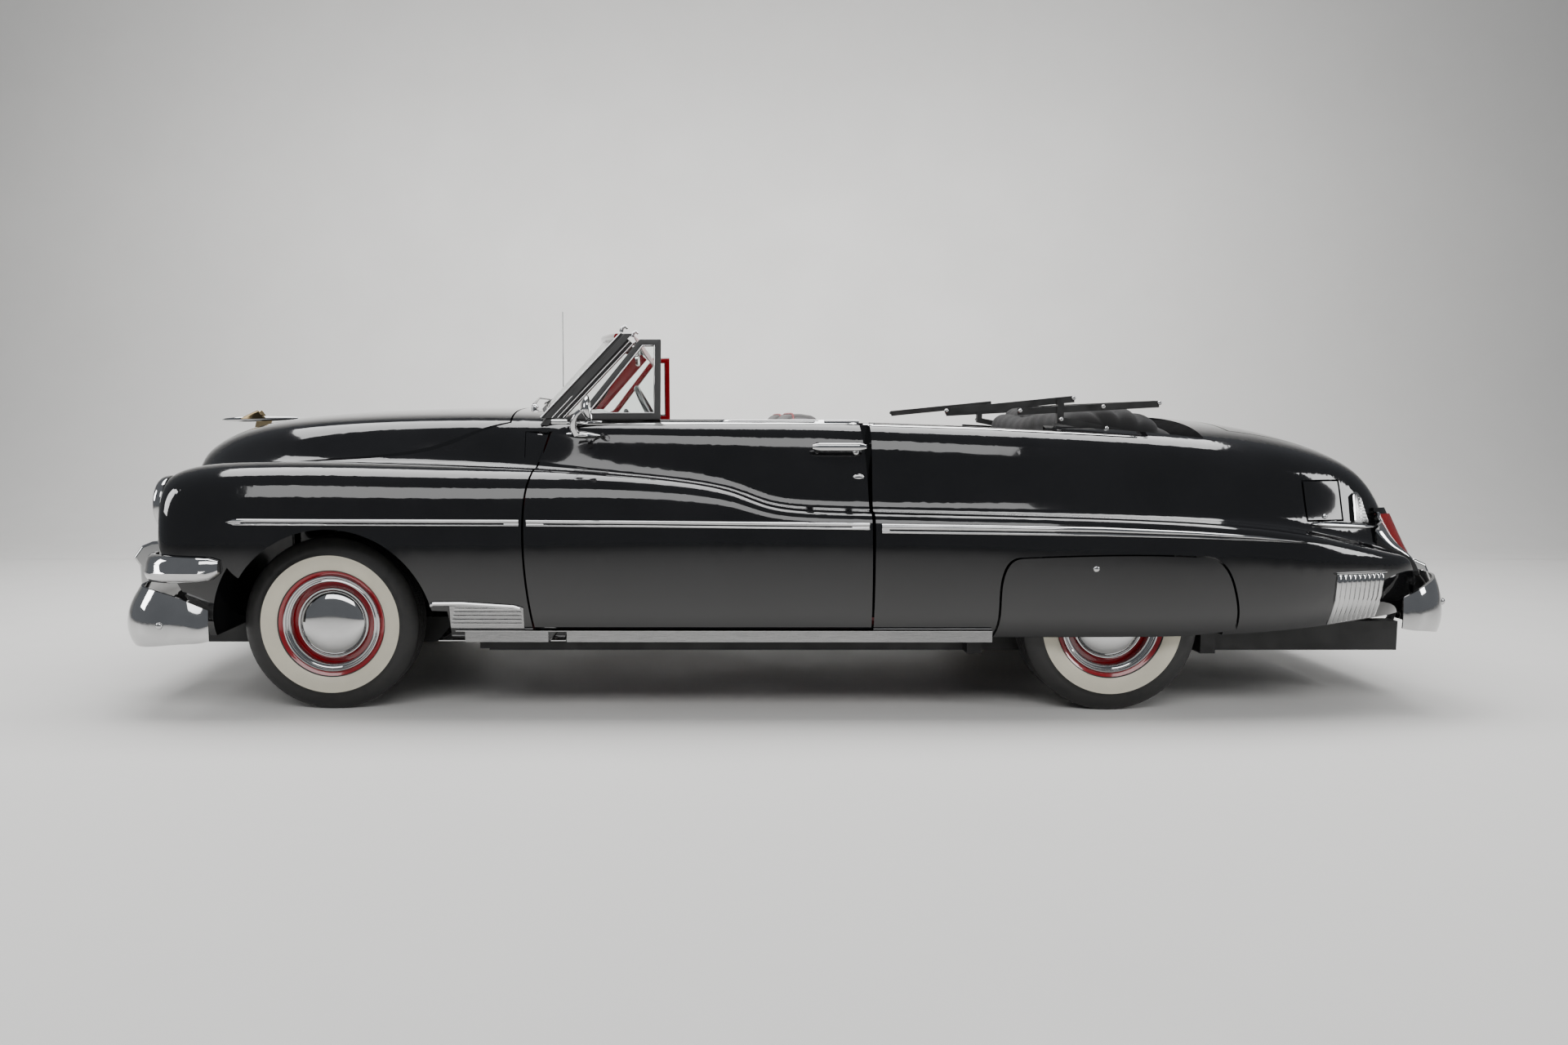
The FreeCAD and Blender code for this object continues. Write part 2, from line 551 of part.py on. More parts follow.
side_spaces = [door_prism(gap, cabin_half_width, wide), front_house, front_arch, rear_house,
               arm_space,
               skirt_prism(d.skirt_gap, skirt_seat_y - seat)]
body = form.cut([cabin_space, top_well, engine_bay, trunk_space, axle_space, tank_space,
                 chin, mouth, hood_space, lid_space] + side_spaces + [mirrored(s) for s in side_spaces])


def rest_pad(x, y, slip):
    """Rubber buffer that a closed lid rests on, one seat clearance below it."""
    peg = Part.makeCylinder(d.buffer_radius, high, V(x, y, d.floor_height))
    return peg.common(under(slip * (d.panel_layer + seat), d.panel_layer + seat))


fender_plan = [(front_end, d.bay_half_width + seat), (cowl_front_x, d.bay_half_width + seat),
               (cowl_front_x, hood_rear_half_width + gap), (d.post_x, hood_rear_half_width + gap),
               (d.post_x, cabin_half_width - gap), (d.sill_front_x, cabin_half_width - gap),
               (d.sill_front_x, wide), (front_end, wide)]
fender = body.common(plan_polygon(fender_plan, 0, high))
corner_rear_x = d.door_front_x + corner_share * d.door_length
fender = fender.fuse(body.common(block(d.sill_front_x, corner_rear_x, cabin_half_width + seat, wide,
                                       d.sill_top, high)))
for pad_x in (d.pad_front_x, d.pad_rear_x):
    fender = fender.fuse(rest_pad(pad_x, d.bay_half_width + d.pad_inset, 1))
solid_node("front_fender_right", fender)
solid_node("front_fender_left", mirrored(fender))
solid_node("front_panel", body.common(
    centred(front_end, d.bay_front_x, d.bay_half_width, 0, high)))

cowl_edge = [(cowl_front_x + seat, hood_rear_half_width + gap - seat),
             (d.post_x + seat, hood_rear_half_width + gap - seat),
             (d.post_x + seat, cabin_half_width - gap - seat),
             (d.sill_front_x + seat, cabin_half_width - gap - seat),
             (d.sill_front_x + seat, cabin_half_width), (0, cabin_half_width)]
cowl_plan = plan_polygon(cowl_edge + [(x, -y) for x, y in reversed(cowl_edge)], 0, high)
cowl = body.common(cowl_plan).cut(
    centred(d.post_x, 0, cabin_half_width, 0, d.floor_height + d.floor_gauge))
solid_node("cowl", cowl)

floor_space = centred(d.post_x + seat, d.cabin_rear_x - seat, cabin_half_width - gap - seat,
                      0, d.floor_height + d.floor_gauge - seat)
solid_node("floor_pan", body.common(floor_space))

sill_rear_x = d.door_front_x + d.door_length + gap
rocker = body.common(block(d.sill_front_x + seat, sill_rear_x - seat, cabin_half_width - gap,
                           wide, 0, d.sill_top))
hinge_pad = block(d.sill_front_x + d.pad_inset, d.sill_front_x + 2 * d.pad_inset,
                  cabin_half_width + d.pad_inset, cabin_half_width + 2 * d.pad_inset,
                  d.sill_top - 2 * gap, d.sill_top - seat)
solid_node("rocker_panels", both(rocker.fuse(hinge_pad)))

solid_node("rear_deck", body.common(
    centred(d.cabin_rear_x, d.lid_front_x - gap, lid_half_width - gap, 0, high)))
tail_plan = centred(d.lid_front_x - gap + seat, rear_end, lid_rear_half_width - gap, 0,
                    d.lid_lower_edge + d.panel_layer)
solid_node("tail_panel", body.common(tail_plan))

quarter_plan = [(sill_rear_x, cabin_half_width - gap), (d.seat_well_x, cabin_half_width - gap),
                (d.seat_well_x, d.rear_pan_half_width), (d.cabin_rear_x, d.rear_pan_half_width),
                (d.cabin_rear_x, lid_half_width - gap + seat),
                (d.lid_front_x - gap + seat, lid_half_width - gap + seat),
                (d.lid_front_x - gap + seat, lid_rear_half_width - gap + seat),
                (rear_end, lid_rear_half_width - gap + seat), (rear_end, wide),
                (sill_rear_x, wide)]
quarter = body.common(plan_polygon(quarter_plan, 0, high)).cut(
    centred(d.firewall_x, d.cabin_rear_x, cabin_half_width - gap, 0,
            d.floor_height + d.floor_gauge))
door_rear_x = d.door_front_x + d.door_length
jamb = block(door_rear_x - d.door_step, sill_rear_x + gap, cabin_half_width - 3 * gap,
             cabin_half_width - gap, d.floor_height + d.floor_gauge + seat, d.belt_height - 2 * gap)
jamb_root = block(sill_rear_x, sill_rear_x + gap, cabin_half_width - 3 * gap,
                  cabin_half_width + gap, d.floor_height + d.floor_gauge + seat,
                  d.belt_height - 2 * gap)
quarter = quarter.fuse([jamb, jamb_root])
quarter = quarter.fuse(rest_pad(
    d.lid_pad_x, lid_rear_half_width - gap + 1.5 * d.buffer_radius, -1))
solid_node("quarter_panel_right", quarter)


def fuel_prism(more):
    """Box square to the quarter panel's surface at the fuel door."""
    size = V(d.fuel_door_length + 2 * more, 2 * d.fuel_door_height, d.fuel_door_height + 2 * more)
    prism = Part.makeBox(size.x, size.y, size.z, size * -0.5)
    turn = FreeCAD.Rotation(V(0, 0, 1), -d.fuel_door_turn)
    lean = FreeCAD.Rotation(V(1, 0, 0), d.fuel_door_lean)
    prism.Placement = FreeCAD.Placement(V(d.fuel_door_x, fuel_door_y, d.fuel_door_z),
                                        turn.multiply(lean))
    return prism


fuel_space = fuel_prism(gap).cut(moved(form, 0, -d.fuel_door_gauge - gap, 0))
fuel_pad = along_y(d.fuel_door_x, d.fuel_door_z, d.buffer_radius, trunk_half_width, wide)
fuel_pad = fuel_pad.common(moved(form, 0, -d.fuel_door_gauge - seat, 0))
solid_node("quarter_panel_left", mirrored(quarter.cut(fuel_space).fuse(fuel_pad)))
solid_node("fuel_door", mirrored(
    form.common(fuel_prism(0)).cut(moved(form, 0, -d.fuel_door_gauge, 0))))

door = form.common(door_prism(0, cabin_half_width, wide)).cut(
    inner_layer.common(block(door_rear_x - d.door_step, rear_end, 0, wide, 0, high)))
solid_node("door_right", door)
solid_node("door_left", mirrored(door))
solid_node("hood", form.common(hood_prism(0)).cut(under(d.panel_layer, d.panel_layer)))
solid_node("trunk_lid", form.common(lid_prism(0)).cut(under(-d.panel_layer, d.panel_layer)))
skirt = form.common(skirt_prism(0, skirt_seat_y))
solid_node("fender_skirts", both(skirt))


# Running gear
tyre_profile = [
    ("rim_radius + seat_clearance", "tread_half_width - bead_step"),
    ("rim_radius + bead_height", "bead_half_width + bead_step"),
    ("tyre_radius - shoulder_height", "tyre_half_width"), ("tyre_radius", "tread_half_width"),
    ("tyre_radius", "-tread_half_width"), ("tyre_radius - shoulder_height", "-tyre_half_width"),
    ("rim_radius + bead_height", "-bead_half_width - bead_step"),
    ("rim_radius + seat_clearance", "bead_step - tread_half_width")]


def dome(radius, base, height):
    """Rounded cap standing on a flat base, spun about a line along Y."""
    shares = ((1, 0.0), (0.98, 0.30), (0.86, 0.62), (0.60, 0.86), (0.30, 0.97), (0, 1.0))
    rim = [V(radius * r, base + height * y, 0) for r, y in shares]
    outline = wire(rim, [rim[-1], V(0, base, 0)], [V(0, base, 0), rim[0]])
    return Part.Face(outline).revolve(V(0, 0, 0), V(0, 1, 0), 360)


def lathe(points):
    corners = [V(r, y, 0) for r, y in points]
    face = Part.Face(Part.makePolygon(corners + corners[:1]))
    return face.revolve(V(0, 0, 0), V(0, 1, 0), 360)


def wheel_shape():
    """Drum, hub, disc and drop-centre rim in one, with the trim ring and hub cap on it."""
    bore = d.spindle_radius + d.bearing_clearance
    well = d.rim_radius - d.rim_well
    flange = d.rim_radius + d.rim_flange
    gauge, half, face = d.rim_gauge, d.rim_half_width, d.disc_face
    hub_back = -d.drum_width
    points = [
        (bore, hub_back), (d.drum_radius, hub_back), (d.drum_radius, face - 3 * d.disc_gauge),
        (well - gauge, face - 3 * d.disc_gauge), (well - gauge, face - d.drum_width),
        (d.rim_radius - gauge, gauge - half + d.rim_well), (d.rim_radius - gauge, gauge - half),
        (flange - gauge, -half), (flange, -half), (flange, gauge - half),
        (d.rim_radius, 2 * gauge - half), (d.rim_radius, gauge - half + d.rim_well),
        (well, face - d.drum_width), (well, face - 2 * d.disc_gauge),
        (d.rim_radius, half - gauge - d.rim_well), (d.rim_radius, half - 2 * gauge),
        (flange, half - gauge), (flange, half), (flange - gauge, half + gauge / 2),
        (d.rim_radius - gauge, half - gauge), (d.rim_radius - gauge, half - d.rim_well),
        (well, face - d.disc_gauge), (well - 2 * gauge, face), (d.cap_radius, face + d.disc_gauge),
        (bore, face + d.disc_gauge)]
    cap = dome(d.cap_radius - gauge, face + d.disc_gauge + seat, d.cap_height)
    outer, inner = d.rim_radius - gauge - seat, d.ring_inner_radius
    ring = lathe([(outer, half - 2 * gauge), (outer, half), (outer - gauge, half + gauge),
                  (inner + gauge, half), (inner, half - 2 * gauge), (inner + gauge, half - 2 * gauge),
                  (inner + 2 * gauge, half - gauge), (outer - gauge, half - gauge / 2)])
    return Part.makeCompound([lathe(points), cap, ring])


wheel = wheel_shape()
for end, axle_x, track in (("front", "front_overhang - overall_length / 2", "track_front / 2"),
                           ("rear", "front_overhang - overall_length / 2 + wheelbase",
                            "track_rear / 2")):
    track_half = {"front": d.track_front, "rear": d.track_rear}[end] / 2
    centre_x = {"front": front_axle_x, "rear": rear_axle_x}[end]
    for side, sign in SIDES:
        name = end + "_" + side
        at = (axle_x, "%d * %s" % (sign, track), "tyre_radius")
        keep(spun("tyre_" + name, tyre_profile, at), "tyre_" + name)
        shape = wheel if sign > 0 else mirrored(wheel)
        solid_node("wheel_" + name, moved(shape, centre_x, sign * track_half, d.tyre_radius))

front_x = "(front_overhang - overall_length / 2)"
rear_x = "(front_overhang - overall_length / 2 + wheelbase)"
kingpin_y = "(track_front / 2 - kingpin_offset)"
for side, sign in SIDES:
    name = "knuckle_" + side
    post = rod(name + "_post", "kingpin_boss", "2 * kingpin_half",
               (front_x, "%d * %s" % (sign, kingpin_y), "tyre_radius - kingpin_half"))
    inner = "%d * %s" % (sign, kingpin_y)
    spindle = rod(name + "_spindle", "spindle_radius", "kingpin_offset + disc_face - disc_gauge",
                  (front_x, inner if sign > 0 else inner + " - kingpin_offset - disc_face"
                   + " + disc_gauge", "tyre_radius"), ALONG_Y)
    arm = box(name + "_arm", ("steer_arm_length", "arm_gauge", "arm_gauge"),
              (front_x, "%d * %s - arm_gauge / 2" % (sign, kingpin_y),
               "tyre_radius - arm_gauge / 2"))
    keep(fuse(name, [post, spindle, arm]), name)

rail_runs = [("rail_front_x", "front_overhang - overall_length / 2 + rail_bend", "rail_front_y"),
             ("front_overhang - overall_length / 2 + rail_bend", "rail_rear_x", "rail_rear_y")]
frame_parts = []
for side, sign in SIDES:
    for index, (start, end, out) in enumerate(rail_runs):
        frame_parts.append(box("rail_%s_%d" % (side, index),
                               ("%s - (%s)" % (end, start), "rail_width", "rail_height"),
                               (start, "%d * %s - rail_width / 2" % (sign, out), "rail_bottom")))
for index, (at_x, out) in enumerate((
        ("front_overhang - overall_length / 2 - cross_width / 2", "rail_front_y"),
        ("front_overhang - overall_length / 2 + rail_bend - cross_width / 2", "rail_rear_y"),
        ("cross_middle_x", "rail_rear_y"), ("cross_rear_x", "rail_rear_y"),
        ("rail_rear_x - cross_width", "rail_rear_y"))):
    frame_parts.append(box("cross_%d" % index, ("cross_width", "2 * " + out, "cross_height"),
                           (at_x, "-" + out, "rail_bottom")))
hanger_top = "tyre_radius - axle_tube_radius - spring_pad_gauge - spring_gauge - seat_clearance"
hanger_reach = "(spring_y + spring_width / 2 - rail_rear_y)"
for side, sign in SIDES:
    for place_word, at_x in (("front", rear_x + " - spring_length / 2"),
                             ("rear", rear_x + " + spring_length / 2 - hanger_length")):
        at_y = "rail_rear_y" if sign > 0 else "-rail_rear_y - " + hanger_reach
        frame_parts.append(box("hanger_%s_%s" % (place_word, side),
                               ("hanger_length", hanger_reach, hanger_top + " - rail_bottom"),
                               (at_x, at_y, "rail_bottom")))
keep(fuse("chassis_frame", frame_parts), "chassis_frame")

arms = []
for side, sign in SIDES:
    start = "rail_front_y + rail_width / 2 + seat_clearance"
    reach = "track_front / 2 - kingpin_offset - kingpin_boss - rail_front_y - rail_width / 2" \
            " - 2 * seat_clearance"
    at_y = start if sign > 0 else "-(" + start + ") - (" + reach + ")"
    for level, z in (("lower", "tyre_radius - kingpin_half"),
                     ("upper", "tyre_radius + kingpin_half - arm_gauge")):
        arms.append(box("arm_%s_%s" % (level, side), ("arm_width", reach, "arm_gauge"),
                        (front_x + " - arm_width / 2", at_y, z)))
    tower = box("tower_" + side, ("arm_width", "arm_gauge",
                                  "2 * kingpin_half"),
                (front_x + " - arm_width / 2",
                 start if sign > 0 else "-(" + start + ") - arm_gauge",
                 "tyre_radius - kingpin_half"))
    arms.append(tower)
keep(fuse("front_suspension", arms), "front_suspension")

tube_half = "(track_rear / 2 - drum_width - seat_clearance)"
housing = rod("axle_tube", "axle_tube_radius", "2 * " + tube_half,
              (rear_x, "-" + tube_half, "tyre_radius"), ALONG_Y)
shafts = rod("axle_shafts", "spindle_radius", "track_rear + 2 * (disc_face - disc_gauge)",
             (rear_x, "-track_rear / 2 - disc_face + disc_gauge", "tyre_radius"), ALONG_Y)
gear_case = rod("gear_case", "axle_housing_radius", "2 * axle_housing_radius",
                (rear_x, "-axle_housing_radius", "tyre_radius"), ALONG_Y)
springs = [box("spring_" + side, ("spring_length", "spring_width", "spring_gauge"),
               (rear_x + " - spring_length / 2", "%d * spring_y - spring_width / 2" % sign,
                "tyre_radius - axle_tube_radius - spring_pad_gauge - spring_gauge"))
           for side, sign in SIDES]
pads = [box("spring_pad_" + side,
            ("2 * spring_width", "spring_width", "axle_tube_radius + spring_pad_gauge"),
            (rear_x + " - spring_width", "%d * spring_y - spring_width / 2" % sign,
             "tyre_radius - axle_tube_radius - spring_pad_gauge")) for side, sign in SIDES]
keep(fuse("rear_axle", [housing, shafts, gear_case] + springs + pads), "rear_axle")

keep(box("engine_block", ("engine_length", "engine_width", "engine_height"),
         ("engine_x", "-engine_width / 2", "rail_bottom + cross_height + seat_clearance")),
     "engine_block")
keep(box("radiator", ("radiator_gauge", "2 * rail_front_y", "radiator_height"),
         ("radiator_x", "-rail_front_y", "rail_bottom + rail_height + seat_clearance")), "radiator")
keep(box("fuel_tank", ("tank_length", "tank_width", "tank_height"),
         ("tank_x", "-tank_width / 2",
          "trunk_floor - floor_gauge - seat_clearance - tank_height")), "fuel_tank")
pipe_z = "rail_bottom + cross_height + seat_clearance + pipe_radius"
pipe = rod("tail_pipe", "pipe_radius", "pipe_length", ("pipe_x", "pipe_y", pipe_z), ALONG_X)
muffler = rod("muffler", "muffler_radius", "muffler_length", ("muffler_x", "pipe_y", "muffler_z"),
              ALONG_X)
keep(fuse("exhaust_system", [pipe, muffler]), "exhaust_system")

# Bumpers, grille and lamps
front_bumper_plan_shares = ((0.833, 0.990), (0.888, 1.0), (0.954, 0.930), (0.991, 0.620), (1.0, 0.0))
rear_bumper_plan_shares = ((0.894, 0.985), (0.930, 0.980), (0.966, 0.910), (0.992, 0.620), (1.0, 0.0))
# Section of the bar: share of its crown inwards, share of its height
bumper_section_shares = ((0.42, 0.0), (0.10, 0.16), (0.0, 0.40), (0.30, 0.70), (1.0, 1.0))
# Height of the lower and upper edge at a share of the way from the middle to the end
bumper_lower_shares = ((0.0, 0.0), (0.70, 0.0), (1.0, 0.14))
bumper_upper_shares = ((0.0, 1.0), (0.70, 1.0), (0.85, 0.93), (1.0, 0.66))
bumper_steps = 24


bumper_lower, bumper_upper = guide(bumper_lower_shares), guide(bumper_upper_shares)


def spline_edge(points):
    curve = Part.BSplineCurve()
    curve.interpolate(points)
    return curve.toShape()


def bumper_grid(end, half, base, most, plan_shares, depth):
    """Points of the bumper bar at one depth behind its face."""
    reach = half_length - d.guard_proud
    plan = [V(end * x * reach, y * half, base) for x, y in plan_shares]
    path = spline_edge(plan + [V(p.x, -p.y, p.z) for p in reversed(plan[:-1])])
    first, span = path.FirstParameter, path.LastParameter - path.FirstParameter
    grid = []
    for step in range(bumper_steps + 1):
        at = first + span * step / bumper_steps
        inward = path.tangentAt(at).cross(V(0, 0, end))
        crown = max(most * math.sin(math.pi * step / bumper_steps) ** 0.5, gap)
        out = abs(2 * step / bumper_steps - 1)
        low, top = bumper_lower(out), bumper_upper(out)
        grid.append([path.valueAt(at) + inward * (depth + r * crown)
                     + V(0, 0, (low + z * (top - low)) * d.bumper_height)
                     for r, z in bumper_section_shares])
    return grid


def grid_surface(grid):
    surface = Part.BSplineSurface()
    surface.interpolate(grid)
    return surface


def skin_between(near, far):
    """Solid plate between two grids of points."""
    faces, rims = [], []
    for surface in (grid_surface(near), grid_surface(far)):
        u_from, u_to, v_from, v_to = surface.bounds()
        faces.append(surface.toShape())
        rims.append([curve.toShape() for curve in (surface.uIso(u_from), surface.uIso(u_to),
                                                   surface.vIso(v_from), surface.vIso(v_to))])
    faces += [Part.makeRuledSurface(a, b) for a, b in zip(*rims)]
    shell = Part.makeShell(faces)
    shell.sewShape()
    return Part.makeSolid(shell)


# Side outline of the bumper guards: share of their depth behind the front, share of their height
front_guard_shares = ((0.28, 0.27), (0.24, 0.72), (0.05, 0.817), (0.32, 0.946), (0.63, 0.992),
                      (1.0, 1.0), (1.0, 0.841), (0.78, 0.704), (0.71, 0.27))
rear_guard_shares = ((0.26, 0.40), (0.22, 0.62), (0.0, 0.74), (0.16, 0.92), (0.52, 1.0),
                     (0.72, 0.95), (0.72, 0.40))
brackets = []
for end, word, plan_shares, base, most, half, guard_top, guard_shares, rail_end, rail_y in (
        (-1, "front", front_bumper_plan_shares, d.front_bumper_bottom, d.front_bumper_crown,
         front_bumper_half_width, d.guard_top, front_guard_shares, d.rail_front_x, d.rail_front_y),
        (1, "rear", rear_bumper_plan_shares, d.rear_bumper_bottom, d.rear_bumper_crown,
         rear_bumper_half_width, d.rear_guard_top, rear_guard_shares, d.rail_rear_x, d.rail_rear_y)):
    bar = skin_between(bumper_grid(end, half, base, most, plan_shares, 0),
                       bumper_grid(end, half, base, most, plan_shares, d.bumper_gauge))
    middle = grid_surface(bumper_grid(end, half, base, most, plan_shares, 0)).toShape().common(
        centred(-wide * 2, wide * 2, cabin_half_width, 0, high))
    behind = moved(middle.extrude(V(-end * d.guard_depth, 0, 0)), end * seat, 0, 0)
    ahead = moved(middle.extrude(V(end * d.guard_depth, 0, 0)), -end * (d.bumper_gauge + seat), 0, 0)
    guard = side_polygon([(end * (half_length - x * d.guard_depth), base + z * (guard_top - base))
                          for x, z in guard_shares],
                         d.guard_y - d.guard_width / 2, d.guard_y + d.guard_width / 2)
    guard = guard.makeFillet(d.guard_round, [e for e in guard.Edges if e.BoundBox.YLength < seat])
    guard = max(guard.cut(behind).Solids, key=lambda solid: solid.Volume)
    solid_node("bumper_" + word, Part.makeCompound([bar, both(guard)]))
    # Bracket from the end of each frame rail to the back of the bumper bar
    reach = sorted((rail_end + end * seat, end * half_length))
    inner_y = rail_y - d.rail_width / 2 + d.bracket_gauge
    rail_top = d.rail_bottom + d.rail_height
    iron = block(reach[0], reach[1], inner_y, inner_y + d.bracket_gauge,
                 rail_top - 3 * d.bracket_gauge, base + 6 * d.bracket_gauge)
    brackets.append(both(iron.cut(ahead)))
solid_node("bumper_brackets", Part.makeCompound(brackets))

surround_plan_shares = ((0.772, 0.990), (0.830, 0.995), (0.872, 0.975), (0.903, 0.900),
                        (0.928, 0.700), (0.948, 0.0))


def front_band(depth_near, depth_far, bottom, top, shares):
    """Band that follows the bowed front of the car between two heights."""
    def row(depth):
        half = [V(-x * half_length + depth, y * (half_width - depth), bottom) for x, y in shares]
        return half + [V(q.x, -q.y, q.z) for q in reversed(half[:-1])]
    near, far = row(depth_near), row(depth_far)
    outline = wire(near, [near[-1], far[-1]], list(reversed(far)), [far[0], near[0]])
    return Part.Face(outline).extrude(V(0, 0, top - bottom))


# Lower grille bar: its edges from the middle to the outer pods, and its section
surround_lower_shares = ((0.0, 0.15), (0.60, 0.15), (0.75, 0.16), (1.0, 0.0))
surround_upper_shares = ((0.0, 0.63), (0.50, 0.63), (0.64, 0.93), (0.74, 1.0), (1.0, 0.88))
pod_end_shares = ((0.7775, 1.0), (0.7790, 0.75), (0.7934, 0.0))
surround_section_shares = ((0.7, 0.0), (0.15, 0.20), (0.0, 0.44), (0.30, 0.74), (1.0, 1.0))
surround_lower, surround_upper = guide(surround_lower_shares), guide(surround_upper_shares)


def pod_end(side):
    """Space behind the slanted rear end of a pod."""
    edge = [(-x * half_length, d.surround_bottom + z * d.surround_height) for x, z in pod_end_shares]
    return side_polygon([(edge[0][0], high)] + edge + [(edge[-1][0], 0), (0, 0), (0, high)],
                        0, side * wide)


def surround_grid(depth):
    """Points of the lower grille bar at one depth behind its face."""
    plan = [V(-x * half_length, y * half_width, d.surround_bottom) for x, y in surround_plan_shares]
    path = spline_edge(plan + [V(p.x, -p.y, p.z) for p in reversed(plan[:-1])])
    first, span = path.FirstParameter, path.LastParameter - path.FirstParameter
    grid = []
    for step in range(2 * bumper_steps + 1):
        at = first + span * step / (2 * bumper_steps)
        inward = path.tangentAt(at).cross(V(0, 0, -1))
        out = abs(step / bumper_steps - 1)
        low, top = surround_lower(out), surround_upper(out)
        grid.append([path.valueAt(at) + inward * (depth + r * d.surround_crown)
                     + V(0, 0, (low + z * (top - low)) * d.surround_height)
                     for r, z in surround_section_shares])
    return grid


clear_form = moved(form, -seat, 0, 0)
lower_bar = skin_between(surround_grid(0), surround_grid(d.surround_depth))
lower_bar = lower_bar.cut([clear_form, moved(form, 0, seat, 0), moved(form, 0, -seat, 0),
                           pod_end(1), pod_end(-1)])
lower_bar = max(lower_bar.Solids, key=lambda solid: solid.Volume)
solid_node("grille_surround", lower_bar)

lip_plan_shares = ((0.915, 0.595), (0.930, 0.50), (0.942, 0.35), (0.948, 0.0))
bar_foot = d.surround_bottom + surround_upper_shares[0][1] * d.surround_height + seat
bars = []
for index in range(int(d.bar_count)):
    out = (2 * index / (d.bar_count - 1) - 1) * mouth_half_width * d.bar_spread
    bow = (1 - (out / half_width) ** 2) * d.bar_bow
    bars.append(block(nose_x - bow - d.bar_depth, nose_x - bow, out - d.bar_gauge / 2,
                      out + d.bar_gauge / 2, bar_foot, d.mouth_top - seat))
centre_bar = front_band(d.bar_gauge, d.surround_depth + d.bar_gauge, d.bar_z - d.bar_gauge,
                        d.bar_z + d.bar_gauge, lip_plan_shares)
top_lip = front_band(0, d.surround_depth, d.mouth_top - seat, d.mouth_top + d.bar_gauge,
                     lip_plan_shares)
top_lip = top_lip.cut(clear_form)
grille = joined(centre_bar, top_lip, *bars)
solid_node("grille", grille)


def lamp(radius, base_x, y, z, depth):
    return Part.makeCylinder(radius, depth, V(base_x, y, z), V(-1, 0, 0))


bucket = lamp(d.lamp_radius, nose_x - seat, lamp_y, d.lamp_height, d.lamp_proud)
bucket = bucket.makeFillet(d.lamp_rim / 2, [e for e in bucket.Edges
                                            if abs(e.BoundBox.XMin - bucket.BoundBox.XMin) < seat
                                            and len(e.Vertexes) == 1])
recess = lamp(d.lens_radius + seat, nose_x, lamp_y, d.lamp_height, 2 * d.lamp_proud)
back_plate = lamp(d.lens_radius + seat, nose_x, lamp_y, d.lamp_height, d.lamp_rim / 2)
solid_node("headlamp_rims", both(bucket.cut(recess.cut(back_plate))))
lens = dome(d.lens_radius, 0, d.lens_dome)
lens.rotate(V(0, 0, 0), V(0, 0, 1), 90)
lens = moved(lens, nose_x - d.lamp_rim / 2 - seat, lamp_y, d.lamp_height)
solid_node("headlamp_lenses", both(lens))

tail_lamp = block(tail_x - 5 * d.tail_lamp_depth, rear_end, tail_lamp_y - d.tail_lamp_half_width,
                  tail_lamp_y + d.tail_lamp_half_width, d.tail_lamp_bottom,
                  d.tail_lamp_bottom + d.tail_lamp_height)
tail_lamp = moved(form, d.tail_lamp_depth, 0, 0).common(tail_lamp).cut(moved(form, seat, 0, 0))
solid_node("tail_lamps", both(max(tail_lamp.Solids, key=lambda solid: solid.CenterOfMass.x)))

# Bright trim on the sides: each strip follows the panel behind it
proud_form, seat_form = moved(form, 0, d.moulding_proud, 0), moved(form, 0, seat, 0)


def strip(points):
    prism = side_polygon(outline_points(points), hood_nose_half_width, wide)
    return proud_form.common(prism).cut(seat_form)


fender_strip_shares = ((0.058, 0.663), (0.062, 0.675), (0.2855, 0.673), (0.2855, 0.648),
                       (0.062, 0.651))
door_strip_shares = ((0.2915, 0.667), (0.5535, 0.661), (0.5535, 0.636), (0.2915, 0.644))
quarter_strip_shares = ((0.5575, 0.659), (0.730, 0.648), (0.850, 0.622), (0.893, 0.592),
                        (0.850, 0.600), (0.730, 0.617), (0.5575, 0.625))
gravel_shares = ((0.2140, 0.392), (0.2175, 0.394), (0.2240, 0.397), (0.2810, 0.392),
                 (0.2870, 0.387), (0.2900, 0.302), (0.2205, 0.302))
belt_shares = ((0.310, 1.004), (0.5505, 1.004), (0.5505, 0.987), (0.310, 0.987))
quarter_belt_shares = ((0.5545, 0.993), (0.700, 0.966), (0.773, 0.948), (0.773, 0.942),
                       (0.700, 0.958), (0.5545, 0.982))
rocker_run_shares = (0.2205, 0.6510)
guard_shares = ((0.9170, 0.487), (0.9600, 0.487), (0.9600, 0.345), (0.9170, 0.330))
spear_shares = ((0.9020, 0.655), (0.9570, 0.645), (0.9570, 0.630), (0.9020, 0.645))
rocker_box = block(body_x(rocker_run_shares[0]), body_x(rocker_run_shares[1]), skirt_seat_y,
                   wide, d.rocker_bottom, d.rocker_bottom + d.rocker_height)
rocker_strip = moved(form, 0, d.rocker_proud, -3 * gap).common(rocker_box).cut(
    moved(form, 0, seat, -seat))
side_trim = [strip(shares) for shares in (fender_strip_shares, quarter_strip_shares,
                                          gravel_shares, quarter_belt_shares, guard_shares,
                                          spear_shares)]
solid_node("side_trim", both(Part.makeCompound(side_trim + [rocker_strip])))


def post(x, z, tip_y, radius):
    return along_y(x, z, radius, cabin_half_width, tip_y).cut(moved(form, 0, seat, 0))


grip = block(d.handle_x, d.handle_x + d.handle_length, handle_y, handle_y + d.handle_gauge,
             d.handle_z, d.handle_z + 2 * d.handle_gauge)
grip = grip.makeFillet(d.handle_gauge / 3, grip.Edges)
feet = [post(d.handle_x + share * d.handle_length, d.handle_z + d.handle_gauge,
             handle_y + d.handle_gauge / 2, d.handle_gauge * 0.7) for share in (0.12, 0.88)]
lock = post(d.handle_x + d.handle_length, d.handle_z - 2 * d.handle_gauge,
            handle_y - 2 * d.handle_gauge, d.handle_gauge)
handle = joined(grip, *feet)

